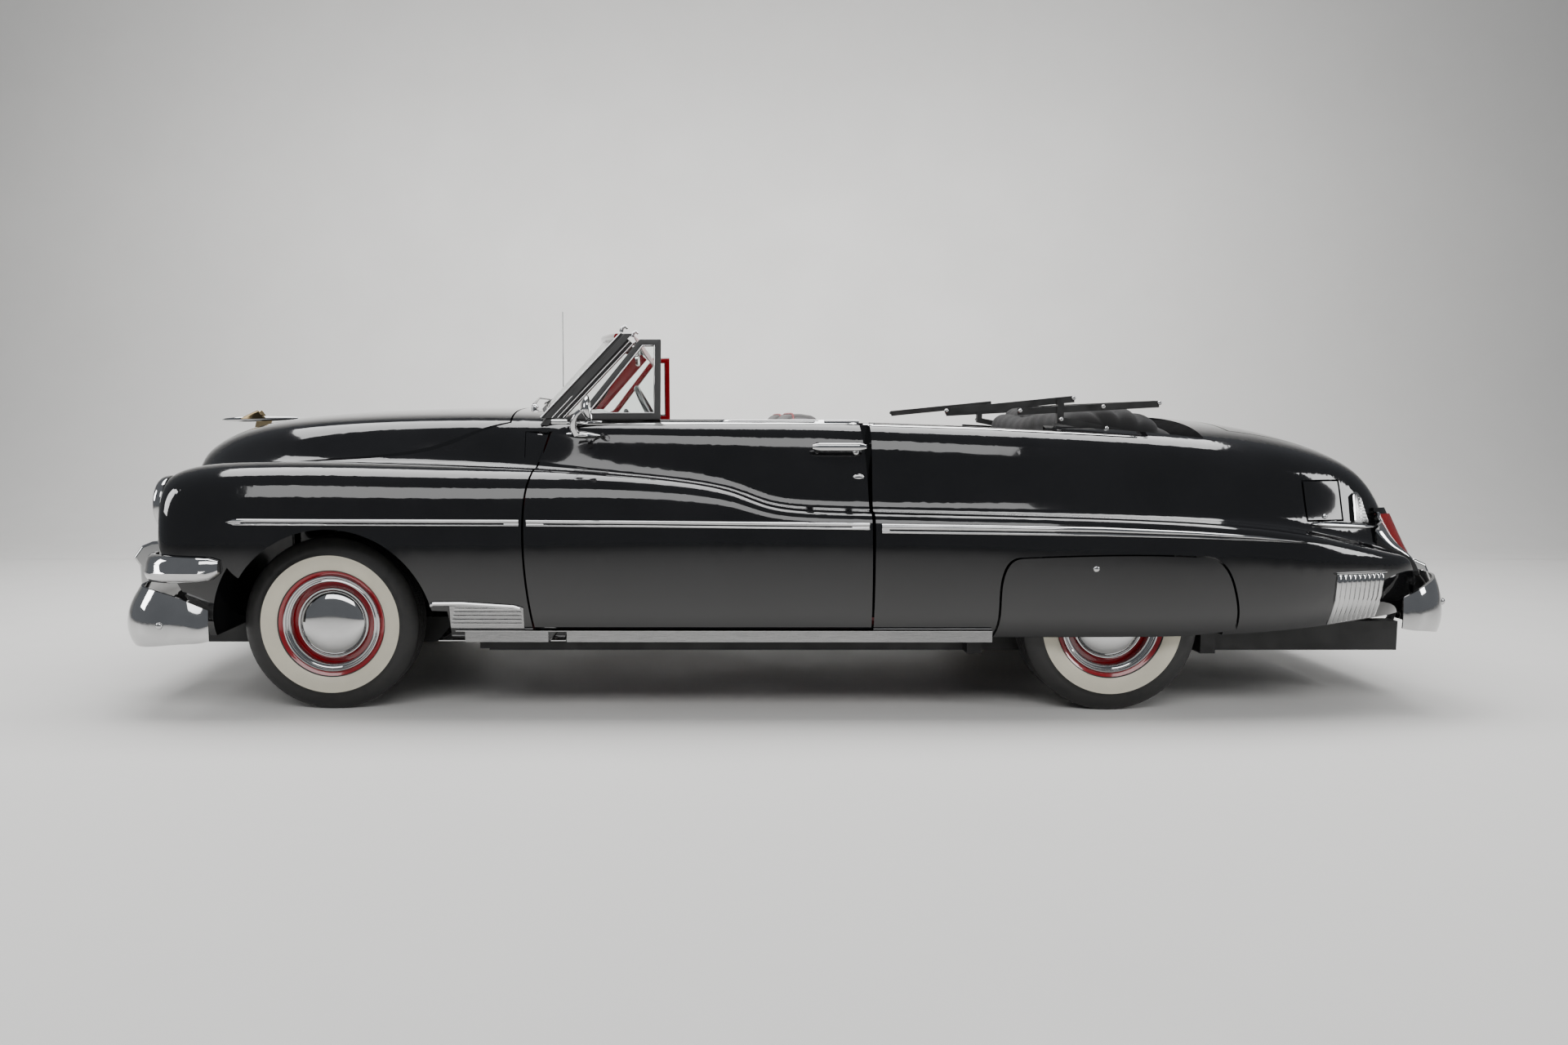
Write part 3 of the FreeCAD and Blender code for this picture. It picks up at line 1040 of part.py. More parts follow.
# Side ventilator windows stand on the doors
vent_front_shares = ((0.0, 0.0), (0.235, 0.158), (0.780, 1.0), (1.0, 1.0), (1.0, 0.0))


def vent_outline(inset):
    low, length = d.belt_height + gap, d.vent_rear_x - d.vent_front_x
    tall = d.vent_top - low
    points = [(d.vent_front_x + x * length, low + z * tall) for x, z in vent_front_shares]
    edge = Part.makePolygon([V(x, vent_y, z) for x, z in points + points[:1]])
    face = Part.Face(edge)
    if inset:
        face = Part.Face(edge.makeOffset2D(-inset, 2))
    return face


vent_ring = vent_outline(0).extrude(V(0, d.vent_bar, 0)).cut(
    moved(vent_outline(d.vent_bar).extrude(V(0, 3 * d.vent_bar, 0)), 0, -d.vent_bar, 0))
vent_glass = moved(vent_outline(d.vent_bar + seat).extrude(V(0, d.glass_gauge, 0)),
                   0, (d.vent_bar - d.glass_gauge) / 2, 0)
for leaning in (vent_ring, vent_glass):
    leaning.rotate(V(0, vent_y + d.vent_bar, d.belt_height + gap), V(1, 0, 0), d.vent_lean)
vent_base = block(d.vent_front_x, d.vent_rear_x, vent_y, vent_y + d.vent_bar,
                  d.belt_height - 2 * gap, d.belt_height + gap).cut(under(0, -seat))
door_trim = Part.makeCompound([strip(door_strip_shares), strip(belt_shares), handle, lock,
                               joined(vent_ring, vent_base)])
for side, sign in SIDES:
    solid_node("door_trim_" + side, door_trim if sign > 0 else mirrored(door_trim))
    solid_node("vent_glass_" + side, vent_glass if sign > 0 else mirrored(vent_glass))

# Windshield: one curved pane in a frame
def pane_point(across, up):
    """Point of the windshield face: across from -1 to 1, up from 0 to 1."""
    base = V(d.glass_base_x + d.glass_sweep * across ** 2, across * pillar_base_y,
             d.glass_base_z - d.glass_drop * across ** 2)
    head = V(d.header_x + d.header_sweep * across ** 2, across * header_half_width,
             d.header_height - d.header_drop * across ** 2)
    return base + (head - base) * up


def pane(margin_across, margin_up):
    steps = [-1 + k / 4 for k in range(9)]
    grid = [[pane_point(u * (1 - margin_across), v) for v in (margin_up, 0.5, 1 - margin_up)]
            for u in steps]
    surface = Part.BSplineSurface()
    surface.interpolate(grid)
    return surface.toShape()


frame_blank = pane(0, 0).extrude(V(d.pillar_gauge, 0, 0))
hole = moved(pane(d.pillar_share, d.header_share).extrude(V(4 * d.pillar_gauge, 0, 0)),
             -2 * d.pillar_gauge, 0, 0)
screen_frame = frame_blank.cut(hole).cut(moved(form, 0, 0, seat))
solid_node("windshield_frame", max(screen_frame.Solids, key=lambda solid: solid.Volume))
slack = seat / header_half_width
screen = moved(pane(d.pillar_share + slack, d.header_share + 2 * slack).extrude(
    V(d.glass_gauge, 0, 0)), d.glass_gauge, 0, 0)
solid_node("windshield_glass", screen)

# Cabin
dash_top = d.belt_height - d.cowl_gauge - seat
dash = centred(d.dash_x, d.cowl_rear_x + d.dash_proud, cabin_half_width - gap, d.dash_bottom,
               dash_top)
dash = dash.makeFillet(d.dash_round, [e for e in dash.Edges if e.Length > cabin_half_width])
rake = math.radians(d.steering_rake)
column_line = V(-math.cos(rake), 0, -math.sin(rake))
wheel_centre = V(d.steering_x, d.steering_y, d.steering_z)
column_top = wheel_centre + column_line * (d.hub_drop + seat)
column = Part.makeCylinder(d.column_radius, d.column_length, column_top, column_line)
solid_node("steering_column", column)
column_hole = Part.makeCylinder(d.column_radius + seat, d.column_length, column_top, column_line)
solid_node("dashboard", dash.cut(column_hole))
rim_ring = Part.makeTorus(d.steering_radius, d.steering_rim, wheel_centre, column_line)
hub_boss = Part.makeCylinder(d.hub_radius, 2 * d.hub_drop, wheel_centre - column_line * d.hub_drop,
                             column_line)
spoke = Part.makeCylinder(d.steering_rim / 2, 2 * d.steering_radius,
                          wheel_centre - V(0, d.steering_radius, 0), V(0, 1, 0))
solid_node("steering_wheel", joined(rim_ring, hub_boss, spoke))


def bench(front_x, half, depth, base, cushion_height, back_height, gauge, lean):
    """Bench seat: cushion and back in one closed form with rounded edges."""
    rear = front_x + depth
    top = base + cushion_height
    points = [(front_x, base), (front_x, top), (rear, top - lean / 2), (rear + lean, base + back_height),
              (rear + lean + gauge * 0.8, base + back_height), (rear + gauge, base)]
    shape = side_polygon(points, -half, half)
    return shape.makeFillet(gauge / 4, shape.Edges)


solid_node("front_seat", bench(d.seat_front_x, seat_half_width, d.seat_cushion_depth,
                               d.seat_base_z, d.seat_cushion_height, d.seat_back_height,
                               d.seat_back_gauge, d.seat_lean))
solid_node("rear_seat", bench(d.rear_seat_front_x, rear_seat_half_width, d.rear_cushion_depth,
                              d.seat_base_z, d.seat_cushion_height, d.rear_back_height,
                              d.rear_back_gauge, d.seat_lean))
risers = [centred(start, start + d.riser_length, rear_seat_half_width - d.pad_inset,
                  d.floor_height + seat, d.seat_base_z - seat)
          for start in (d.seat_front_x + d.pad_inset, d.rear_seat_front_x + d.pad_inset)]
solid_node("seat_risers", Part.makeCompound(risers))

# Folded top: fabric bundle in its well, side irons and the bows above it
bundle_shares = ((0.0, 0.0), (0.02, 0.62), (0.16, 0.94), (0.45, 1.0), (0.78, 0.80), (0.98, 0.42),
                 (1.0, 0.0))
bundle_run = [(d.bundle_x + x * d.bundle_length, d.well_floor + seat + z * d.bundle_height)
              for x, z in bundle_shares]
bundle = side_prism([bundle_run, [bundle_run[-1], bundle_run[0]]], -bundle_half_width,
                    bundle_half_width)
solid_node("folded_top", bundle.makeFillet(d.bundle_round, [
    e for e in bundle.Edges if e.BoundBox.YLength < seat and e.BoundBox.ZMax > d.belt_height]))


def bar_between(start, end, width, height):
    """Flat iron between two (x, z) places, standing outside the bundle."""
    dx, dz = end[0] - start[0], end[1] - start[1]
    length = math.hypot(dx, dz)
    iron = Part.makeBox(length, width, height, V(0, 0, -height / 2))
    iron.rotate(V(0, 0, 0), V(0, 1, 0), -math.degrees(math.atan2(dz, dx)))
    return moved(iron, start[0], 0, start[1])


iron_shares = (((-0.80, 0.891), (0.125, 1.026)), ((-0.286, 0.891), (0.732, 0.972)),
               ((0.0, 0.805), (0.643, 0.621)))
irons = []
for index, run in enumerate(iron_shares):
    start, end = [(d.bundle_x + x * d.bundle_length, d.well_floor + z * d.bundle_height)
                  for x, z in run]
    iron = bar_between(start, end, d.iron_gauge, d.iron_height)
    irons.append(moved(iron, 0, bundle_half_width + seat + index * d.iron_gauge, 0))
bow_end = irons[1].BoundBox
bow = centred(bow_end.XMax - d.iron_height, bow_end.XMax, bundle_half_width + 2 * d.iron_gauge,
              bow_end.ZMax - d.iron_height, bow_end.ZMax)
link = block(irons[2].BoundBox.XMin, irons[2].BoundBox.XMin + d.iron_height,
             bundle_half_width + seat, bundle_half_width + seat + 3 * d.iron_gauge,
             irons[2].BoundBox.ZMax - d.iron_height, irons[0].BoundBox.ZMax - d.iron_height / 2)
# Each lowest iron ends in a lug that pivots on the wall of the well
pivot_x = d.bundle_x + iron_shares[2][1][0] * d.bundle_length
pivot_z = d.well_floor + iron_shares[2][1][1] * d.bundle_height
lug_y = bundle_half_width + seat + 2 * d.iron_gauge
lug = block(pivot_x - d.iron_height, pivot_x, lug_y, lug_y + d.iron_gauge,
            pivot_z - 2 * d.iron_height, pivot_z)
pin = along_y(pivot_x - d.iron_height / 2, pivot_z - 1.5 * d.iron_height, d.iron_gauge, lug_y,
              well_half_width - seat)
irons += [link, lug, pin]
solid_node("top_frame", joined(irons[0], *(irons[1:] + [mirrored(i) for i in irons] + [bow])))

# Small pieces outside
antenna = joined(
    Part.makeCylinder(d.antenna_radius, d.antenna_top - d.antenna_base, V(
        d.antenna_x, antenna_y, d.antenna_base)),
    Part.makeCone(4 * d.antenna_radius, 2 * d.antenna_radius, d.antenna_foot, V(
        d.antenna_x, antenna_y, d.antenna_base - d.antenna_foot)).cut(under(0, -seat)))
solid_node("antenna", antenna)
mirror_foot = post(d.mirror_x, d.mirror_foot_z, mirror_y, d.mirror_stem)
mirror_stalk = Part.makeCylinder(d.mirror_stem / 2, d.mirror_z - d.mirror_foot_z, V(
    d.mirror_x, mirror_y - d.mirror_stem / 2, d.mirror_foot_z))
mirror_head = Part.makeCylinder(d.mirror_radius, d.mirror_depth, V(
    d.mirror_x - d.mirror_depth / 2, mirror_y, d.mirror_z), V(1, 0, 0))
mirror_head = mirror_head.makeFillet(d.mirror_depth / 3, mirror_head.Edges[:1])
solid_node("door_mirror", mirrored(joined(mirror_foot, mirror_stalk, mirror_head)))
ornament_shares = ((0.0, 0.0), (0.39, 0.67), (0.75, 0.40), (1.0, 0.12), (1.0, -0.5), (0.45, -0.9),
                   (0.40, -0.25))
ornament_plan_shares = ((0.0, 0.12), (0.35, 1.0), (0.60, 0.55), (1.0, 0.2))
ornament_side = side_polygon([(d.ornament_x + x * d.ornament_length, d.ornament_z
                               + z * d.ornament_height) for x, z in ornament_shares],
                             -d.ornament_half_width, d.ornament_half_width)
plan_edge = [(d.ornament_x + x * d.ornament_length, y * d.ornament_half_width)
             for x, y in ornament_plan_shares]
ornament_plan = plan_polygon(plan_edge + [(x, -y) for x, y in reversed(plan_edge)], 0, high)
ornament = ornament_side.common(ornament_plan).cut(under(0, -seat))
solid_node("hood_ornament", max(ornament.Solids, key=lambda solid: solid.Volume))

doc.recompute()
os.makedirs("parts", exist_ok=True)
for obj in doc.Objects:
    if any(state in obj.State for state in ("Invalid", "Error")):
        raise RuntimeError("object failed: " + obj.Label)
for obj in PARTS:
    if obj.Shape.isNull() or not obj.Shape.isValid():
        raise RuntimeError("bad shape: " + obj.Label)
for obj in PARTS:
    obj.Shape.exportStep("parts/" + obj.Label + ".step")
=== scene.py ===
"""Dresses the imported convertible: finishes, tyres, wheels, trim, cabin, studio and camera."""
import json
import math

import bmesh
import bpy
from mathutils import Euler, Matrix, Vector
from mathutils.bvhtree import BVHTree


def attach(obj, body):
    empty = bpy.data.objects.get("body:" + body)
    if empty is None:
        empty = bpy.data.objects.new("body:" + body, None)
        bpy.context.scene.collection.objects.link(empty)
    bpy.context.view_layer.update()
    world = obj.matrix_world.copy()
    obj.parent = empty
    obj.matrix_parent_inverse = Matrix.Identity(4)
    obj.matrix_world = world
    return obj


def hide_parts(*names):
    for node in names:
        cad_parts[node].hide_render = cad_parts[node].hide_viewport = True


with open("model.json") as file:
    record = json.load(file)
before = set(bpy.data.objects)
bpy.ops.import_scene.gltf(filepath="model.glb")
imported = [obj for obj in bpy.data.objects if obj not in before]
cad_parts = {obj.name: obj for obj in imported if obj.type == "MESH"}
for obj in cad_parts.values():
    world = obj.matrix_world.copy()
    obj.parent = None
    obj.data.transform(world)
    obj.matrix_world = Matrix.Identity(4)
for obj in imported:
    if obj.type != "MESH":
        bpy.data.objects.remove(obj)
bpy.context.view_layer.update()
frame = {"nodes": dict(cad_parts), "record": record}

bl_info = {
    "name": "Open Touring Car",
    "version": (1, 0, 0),
    "blender": (4, 5, 0),
    "location": "View3D > Sidebar > Touring Car",
    "description": "Dresses a packed open car with finishes, tyres, trim, cabin and a studio",
    "category": "Object",
}

AXLES = {joint["child"]: Vector(joint["pos_m"])
         for joint in frame["record"]["behaviour"]["joints"] if joint.get("continuous")}
SIDES = (("left", -1), ("right", 1))
GROUPS, MATERIALS = {}, {}


def colour(name, description, default):
    return bpy.props.FloatVectorProperty(name=name, description=description, subtype="COLOR",
                                         size=4, default=default + (1,), min=0, max=1)


def length(name, description, default):
    return bpy.props.FloatProperty(name=name, description=description, default=default,
                                   unit="LENGTH")


class CarFinish(bpy.types.PropertyGroup):
    """Colours of the car."""
    paint: colour("Body paint", "Gloss enamel of the body", (0.004, 0.004, 0.0045))
    wheel_red: colour("Wheel enamel", "Enamel of rims and wheel discs", (0.3, 0.006, 0.012))
    whitewall: colour("Whitewall", "Ivory band of the tyres", (0.66, 0.62, 0.5))
    leather_red: colour("Red leather", "Pleats, piping and arm rests", (0.2, 0.008, 0.012))
    leather_dark: colour("Dark leather", "Seat shells and door panels", (0.018, 0.015, 0.015))
    floor: colour("Studio floor", "Pale floor and backdrop", (0.72, 0.71, 0.69))


class CarSizes(bpy.types.PropertyGroup):
    """Sizes of the pieces that the scene adds."""
    tyre_steps: bpy.props.IntProperty(
        name="Tyre steps", description="Divisions round a tyre", default=128, min=24, max=256)
    whitewall_inner: length("Whitewall inner radius", "Inner edge of the ivory band", 0.208)
    whitewall_outer: length("Whitewall outer radius", "Outer edge of the ivory band", 0.2665)
    fold_height: length("Fold height", "Height of the folds in the stacked top", 0.024)
    camera_height: length("Camera height", "Height of the camera over the floor", 1.118)
    camera_distance: length("Camera distance", "Camera's distance from the middle plane", 5.2)
    camera_along: length("Camera place along the car", "Camera place from the middle", -0.3365)


def add(tree, kind, values=None, **settings):
    """One shader node with its settings and unlinked socket values."""
    node = tree.nodes.new(kind)
    for word, value in settings.items():
        setattr(node, word, value)
    for socket, value in (values or {}).items():
        node.inputs[socket].default_value = value
    return node


def wire(tree, *links):
    """Links given as (node, its output, node, its input)."""
    for start, out, end, into in links:
        tree.links.new(start.outputs[out], end.inputs[into])


def new_group(name, inputs, outputs):
    """Node group with named sockets: (name, kind, default)."""
    tree = bpy.data.node_groups.new(name, "ShaderNodeTree")
    for word, kind, default in inputs:
        socket = tree.interface.new_socket(word, in_out="INPUT", socket_type="NodeSocket" + kind)
        if default is not None:
            socket.default_value = default
    for word, kind in outputs:
        tree.interface.new_socket(word, in_out="OUTPUT", socket_type="NodeSocket" + kind)
    return tree, tree.nodes.new("NodeGroupInput"), tree.nodes.new("NodeGroupOutput")


def speckle_group():
    """Two tones and two roughnesses mixed by layered noise, with its height."""
    tree, enter, leave = new_group(
        "Speckle",
        [("Vector", "Vector", None), ("Tone A", "Color", (0.5, 0.5, 0.5, 1)),
         ("Tone B", "Color", (0.4, 0.4, 0.4, 1)), ("Scale", "Float", 20.0),
         ("Roughness Low", "Float", 0.2), ("Roughness High", "Float", 0.4)],
        [("Color", "Color"), ("Roughness", "Float"), ("Height", "Float")])
    broad = add(tree, "ShaderNodeTexNoise", {"Detail": 4.0, "Roughness": 0.6})
    tone = add(tree, "ShaderNodeMix", data_type="RGBA")
    rough = add(tree, "ShaderNodeMapRange")
    sharp = add(tree, "ShaderNodeMapRange", {"From Min": 0.35, "From Max": 0.65})
    wire(tree, (enter, "Vector", broad, "Vector"), (enter, "Scale", broad, "Scale"),
         (broad, "Fac", sharp, "Value"), (sharp, "Result", tone, "Factor"),
         (enter, "Tone A", tone, "A"), (enter, "Tone B", tone, "B"),
         (sharp, "Result", rough, "Value"), (enter, "Roughness Low", rough, "To Min"),
         (enter, "Roughness High", rough, "To Max"), (tone, "Result", leave, "Color"),
         (rough, "Result", leave, "Roughness"), (broad, "Fac", leave, "Height"))
    return tree


def weave_group():
    """Plain weave: height of the over and under threads."""
    tree, enter, leave = new_group(
        "Weave", [("Vector", "Vector", None), ("Scale", "Float", 900.0)], [("Height", "Float")])
    lift = add(tree, "ShaderNodeMath", operation="MAXIMUM")
    for index, way in enumerate("XY"):
        thread = add(tree, "ShaderNodeTexWave", {"Distortion": 0.4}, bands_direction=way)
        wire(tree, (enter, "Vector", thread, "Vector"), (enter, "Scale", thread, "Scale"),
             (thread, "Fac", lift, index))
    wire(tree, (lift, "Value", leave, "Height"))
    return tree


def ring_group():
    """Mask of a ring zone round a centre on a line along Y."""
    tree, enter, leave = new_group(
        "Ring zone", [("Vector", "Vector", None), ("Centre", "Vector", None),
                      ("Inner", "Float", 0.1), ("Outer", "Float", 0.2)], [("Mask", "Float")])
    shift = add(tree, "ShaderNodeVectorMath", operation="SUBTRACT")
    flat = add(tree, "ShaderNodeVectorMath", {1: (1, 0, 1)}, operation="MULTIPLY")
    size = add(tree, "ShaderNodeVectorMath", operation="LENGTH")
    above = add(tree, "ShaderNodeMath", operation="GREATER_THAN")
    below = add(tree, "ShaderNodeMath", operation="LESS_THAN")
    both = add(tree, "ShaderNodeMath", operation="MULTIPLY")
    wire(tree, (enter, "Vector", shift, 0), (enter, "Centre", shift, 1),
         (shift, "Vector", flat, 0), (flat, "Vector", size, 0), (size, "Value", above, 0),
         (enter, "Inner", above, 1), (size, "Value", below, 0), (enter, "Outer", below, 1),
         (above, "Value", both, 0), (below, "Value", both, 1), (both, "Value", leave, "Mask"))
    return tree


def group_node(tree, word, **values):
    node = tree.nodes.new("ShaderNodeGroup")
    node.node_tree = GROUPS[word]
    for socket, value in values.items():
        node.inputs[socket.replace("_", " ")].default_value = value
    return node


def speckle_node(tree, coords, tone_a, tone_b, scale, low, high):
    grain = group_node(tree, "speckle", Tone_A=tone_a, Tone_B=tone_b, Scale=scale,
                       Roughness_Low=low, Roughness_High=high)
    wire(tree, coords + (grain, "Vector"))
    return grain


def start_material(name, **values):
    """Material with one Principled surface: it, its tree, the surface and its coordinates."""
    mat = bpy.data.materials.new(name)
    mat.use_nodes = True
    surface = mat.node_tree.nodes["Principled BSDF"]
    for socket, value in values.items():
        surface.inputs[socket.replace("_", " ")].default_value = value
    return mat, mat.node_tree, surface, (add(mat.node_tree, "ShaderNodeTexCoord"), "Object")


def bump(tree, surface, relief, strength, distance):
    node = add(tree, "ShaderNodeBump", {"Strength": strength, "Distance": distance})
    wire(tree, relief + (node, "Height"), (node, "Normal", surface, "Normal"))


def speckled(name, tone_a, tone_b, scale, low, high, strength=0.0, distance=0.001,
             stretch=None, relief="speckle", **values):
    """Material toned and roughened by the speckle; relief says what its bump comes from."""
    mat, tree, surface, coords = start_material(name, **values)
    place = coords
    if stretch:
        place = add(tree, "ShaderNodeMapping", {"Scale": stretch}), "Vector"
        wire(tree, coords + place)
    grain = speckle_node(tree, place, tone_a, tone_b, scale, low, high)
    wire(tree, (grain, "Color", surface, "Base Color"),
         (grain, "Roughness", surface, "Roughness"))
    height = grain, "Height"
    if relief == "weave":
        height = group_node(tree, "weave", Scale=420.0), "Height"
    elif relief == "cells":
        height = add(tree, "ShaderNodeTexVoronoi", {"Scale": 420.0},
                     feature="DISTANCE_TO_EDGE"), "Distance"
    if relief != "speckle":
        wire(tree, coords + (height[0], "Vector"))
    if strength:
        bump(tree, surface, height, strength, distance)
    return mat


def leather(name, tone):
    """Pebbled hide: fine cells for the grain, broad noise for wear."""
    return speckled(name, tone, shade(tone, 1.7), 7.0, 0.34, 0.52, 0.35, 0.0006, relief="cells",
                    Coat_Weight=0.15, Coat_Roughness=0.3)


def tyre_material(name, centre, finish, sizes):
    """Black rubber with an ivory side band round one wheel centre."""
    mat, tree, surface, coords = start_material(name)
    rubber = speckle_node(tree, coords, (0.012, 0.012, 0.012, 1), (0.022, 0.021, 0.02, 1), 35.0,
                          0.42, 0.62)
    ivory = speckle_node(tree, coords, tuple(finish.whitewall), shade(finish.whitewall, 0.93), 9.0,
                         0.35, 0.5)
    band = group_node(tree, "ring", Centre=centre, Inner=sizes.whitewall_inner,
                      Outer=sizes.whitewall_outer)
    wire(tree, coords + (band, "Vector"))
    for kind, out, into in (("RGBA", "Color", "Base Color"), ("FLOAT", "Roughness", "Roughness")):
        mix = add(tree, "ShaderNodeMix", data_type=kind)
        wire(tree, (band, "Mask", mix, "Factor"), (rubber, out, mix, "A"), (ivory, out, mix, "B"),
             (mix, "Result", surface, into))
    bump(tree, surface, (rubber, "Height"), 0.15, 0.001)
    return mat


def grey(value):
    return (value, value, value, 1)


def shade(tone, factor):
    return tuple(min(1.0, c * factor) for c in tone[:3]) + (1,)


def make_materials(finish, sizes):
    """Every finish of the car, by its plain name."""
    GROUPS.update(speckle=speckle_group(), weave=weave_group(), ring=ring_group())
    paint, red = tuple(finish.paint), tuple(finish.wheel_red)
    MATERIALS.update(
        paint=speckled("Body gloss black", paint, shade(paint, 1.6), 3.0, 0.05, 0.09, 0.02,
                       0.0006, Coat_Weight=0.6, Coat_Roughness=0.02, IOR=1.45),
        chrome=speckled("Polished chrome", grey(0.58), grey(0.51), 6.0, 0.03, 0.08,
                        Metallic=1.0),
        brass=speckled("Warm bright metal", (0.8, 0.62, 0.36, 1), (0.72, 0.54, 0.3, 1), 8.0,
                       0.08, 0.16, Metallic=1.0),
        amber=speckled("Parking lamp glass", (0.75, 0.42, 0.12, 1), (0.65, 0.34, 0.08, 1), 30.0,
                       0.08, 0.15, Transmission_Weight=0.4, Coat_Weight=1.0),
        mirror=speckled("Mirror glass", grey(0.9), grey(0.88), 4.0, 0.01, 0.02, Metallic=1.0),
        steel=speckled("Bare steel", grey(0.3), grey(0.22), 30.0, 0.35, 0.55, 0.1, Metallic=1.0),
        iron=speckled("Cast iron", grey(0.075), grey(0.05), 60.0, 0.55, 0.75, 0.4, Metallic=0.6),
        satin=speckled("Brushed trim", grey(0.34), grey(0.27), 14.0, 0.18, 0.34, 0.05, 0.0005,
                       stretch=(1.5, 60.0, 60.0), Metallic=1.0),
        frame_black=speckled("Frame black", grey(0.012), grey(0.022), 14.0, 0.35, 0.6, 0.05),
        wheel_red=speckled("Wheel red enamel", red, shade(red, 0.8), 12.0, 0.12, 0.2,
                           Coat_Weight=0.8, Coat_Roughness=0.04),
        dash_red=speckled("Dash enamel", shade(red, 0.35), shade(red, 0.28), 8.0, 0.2, 0.3,
                          Coat_Weight=0.5),
        black_plastic=speckled("Moulded black", grey(0.01), grey(0.014), 40.0, 0.15, 0.25),
        ivory=speckled("Ivory enamel", (0.62, 0.58, 0.48, 1), (0.55, 0.51, 0.42, 1), 20.0, 0.3,
                       0.4),
        rubber=speckled("Black rubber", grey(0.014), grey(0.022), 40.0, 0.5, 0.7, 0.1),
        lamp_red=speckled("Red lamp glass", (0.35, 0.004, 0.004, 1), (0.28, 0.003, 0.003, 1),
                          20.0, 0.05, 0.12, Coat_Weight=1.0, Transmission_Weight=0.35),
        glass=speckled("Clear glass", (0.95, 0.98, 0.97, 1), (0.9, 0.95, 0.93, 1), 3.0, 0.0,
                       0.03, Transmission_Weight=1.0, IOR=1.12),
        carpet=speckled("Red carpet", shade(red, 0.3), shade(red, 0.2), 500.0, 0.8, 0.95, 0.8,
                        0.003),
        leather_red=leather("Red leather", tuple(finish.leather_red)),
        leather_dark=leather("Dark leather", tuple(finish.leather_dark)),
        visor=leather("Visor cloth", (0.24, 0.15, 0.15, 1)),
        top_cloth=speckled("Top cloth", (0.006, 0.006, 0.007, 1), (0.014, 0.013, 0.013, 1), 5.0,
                           0.75, 0.9, 0.5, 0.0005, relief="weave", Sheen_Weight=0.06,
                           Sheen_Roughness=0.5),
        floor=speckled("Studio floor", tuple(finish.floor), shade(finish.floor, 0.97), 1.5, 0.5,
                       0.65))
    for body, centre in AXLES.items():
        MATERIALS["tyre_" + body] = tyre_material("Rubber " + body, centre, finish, sizes)


CRISP = 35.0
RIBBON_SINK, PIPING_RADIUS, PIPING_STEPS = 0.003, 0.0045, 96


def finish_piece(bm, name, body="root", material="chrome", angle=60.0, replaces=(), slot=None,
                 fill=None):
    """Closes a bmesh into a piece at the origin; edges sharper than the angle stay sharp."""
    bmesh.ops.remove_doubles(bm, verts=bm.verts[:], dist=1e-5)
    bmesh.ops.recalc_face_normals(bm, faces=bm.faces[:])
    for face in bm.faces:
        face.smooth = True
    for edge in bm.edges:
        if len(edge.link_faces) == 2 and edge.calc_face_angle(0) > math.radians(angle):
            edge.smooth = False
    mesh = bpy.data.meshes.new(name)
    bm.to_mesh(mesh)
    bm.free()
    piece = bpy.data.objects.new(name, mesh)
    bpy.context.scene.collection.objects.link(piece)
    mesh.materials.append(MATERIALS[material])
    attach(piece, body)
    if replaces:
        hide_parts(*replaces)


def lathe(bm, profile, centre, axis, steps, arm):
    """Spins a line of (radius, offset) round an axis through the centre."""
    axis, arm = Vector(axis).normalized(), Vector(arm)
    verts = [bm.verts.new(centre + arm * radius + axis * out) for radius, out in profile]
    edges = [bm.edges.new(pair) for pair in zip(verts, verts[1:])]
    bmesh.ops.spin(bm, geom=verts + edges, cent=centre, axis=axis, angle=math.tau,
                   steps=steps, use_merge=True)
    return bm


def extruded(bm, faces):
    """Grows a second skin from the faces and returns its vertices."""
    grown = bmesh.ops.extrude_face_region(bm, geom=faces, use_keep_orig=True)["geom"]
    return [part for part in grown if isinstance(part, bmesh.types.BMVert)]


def plate(bm, rows, cols, place):
    """Closed plate whose front and back points place(row, column) gives."""
    spots = [[place(i, k) for k in range(cols)] for i in range(rows)]
    made = bmesh.ops.create_grid(bm, x_segments=cols - 1, y_segments=rows - 1,
                                 size=1.0)["verts"]
    grown = extruded(bm, list(dict.fromkeys(face for vert in made for face in vert.link_faces)))
    for side, verts in enumerate((grown, made)):
        for vert in verts:
            row = round((vert.co.y + 1) * (rows - 1) / 2)
            col = round((vert.co.x + 1) * (cols - 1) / 2)
            vert.co = spots[row][col][side]
    return bm


def tube(bm, points, radii, sides=12, flat=1.0, up=(0, 0, 1)):
    """Closed rod through the points; flat squeezes it across its upward side."""
    points = [Vector(p) for p in points]
    if not isinstance(radii, (list, tuple)):
        radii = [radii] * len(points)
    last, step = len(points) - 1, math.tau / sides
    rod = bmesh.new()
    bmesh.ops.create_cone(rod, cap_ends=True, segments=sides, radius1=1.0, radius2=1.0, depth=2.0)
    if last > 1:
        runs = [edge for edge in rod.edges if edge.verts[0].co.z * edge.verts[1].co.z < 0]
        bmesh.ops.subdivide_edges(rod, edges=runs, cuts=last - 1)
    frames = []
    for i, point in enumerate(points):
        along = (points[min(i + 1, last)] - points[max(i - 1, 0)]).normalized()
        out = Vector(up) - along * along.dot(Vector(up))
        out = out.normalized() if out.length > 1e-4 else along.orthogonal().normalized()
        frames.append((point, out, along.cross(out)))
    for vert in rod.verts:
        i = round((vert.co.z + 1) / 2 * last)
        angle = round(math.atan2(vert.co.y, vert.co.x) / step * 2) * step / 2
        point, out, across = frames[i]
        vert.co = point + (out * math.cos(angle) + across * math.sin(angle) * flat) * radii[i]
    mesh = bpy.data.meshes.new("Rod")
    rod.to_mesh(mesh)
    rod.free()
    bm.from_mesh(mesh)
    bpy.data.meshes.remove(mesh)
    return bm


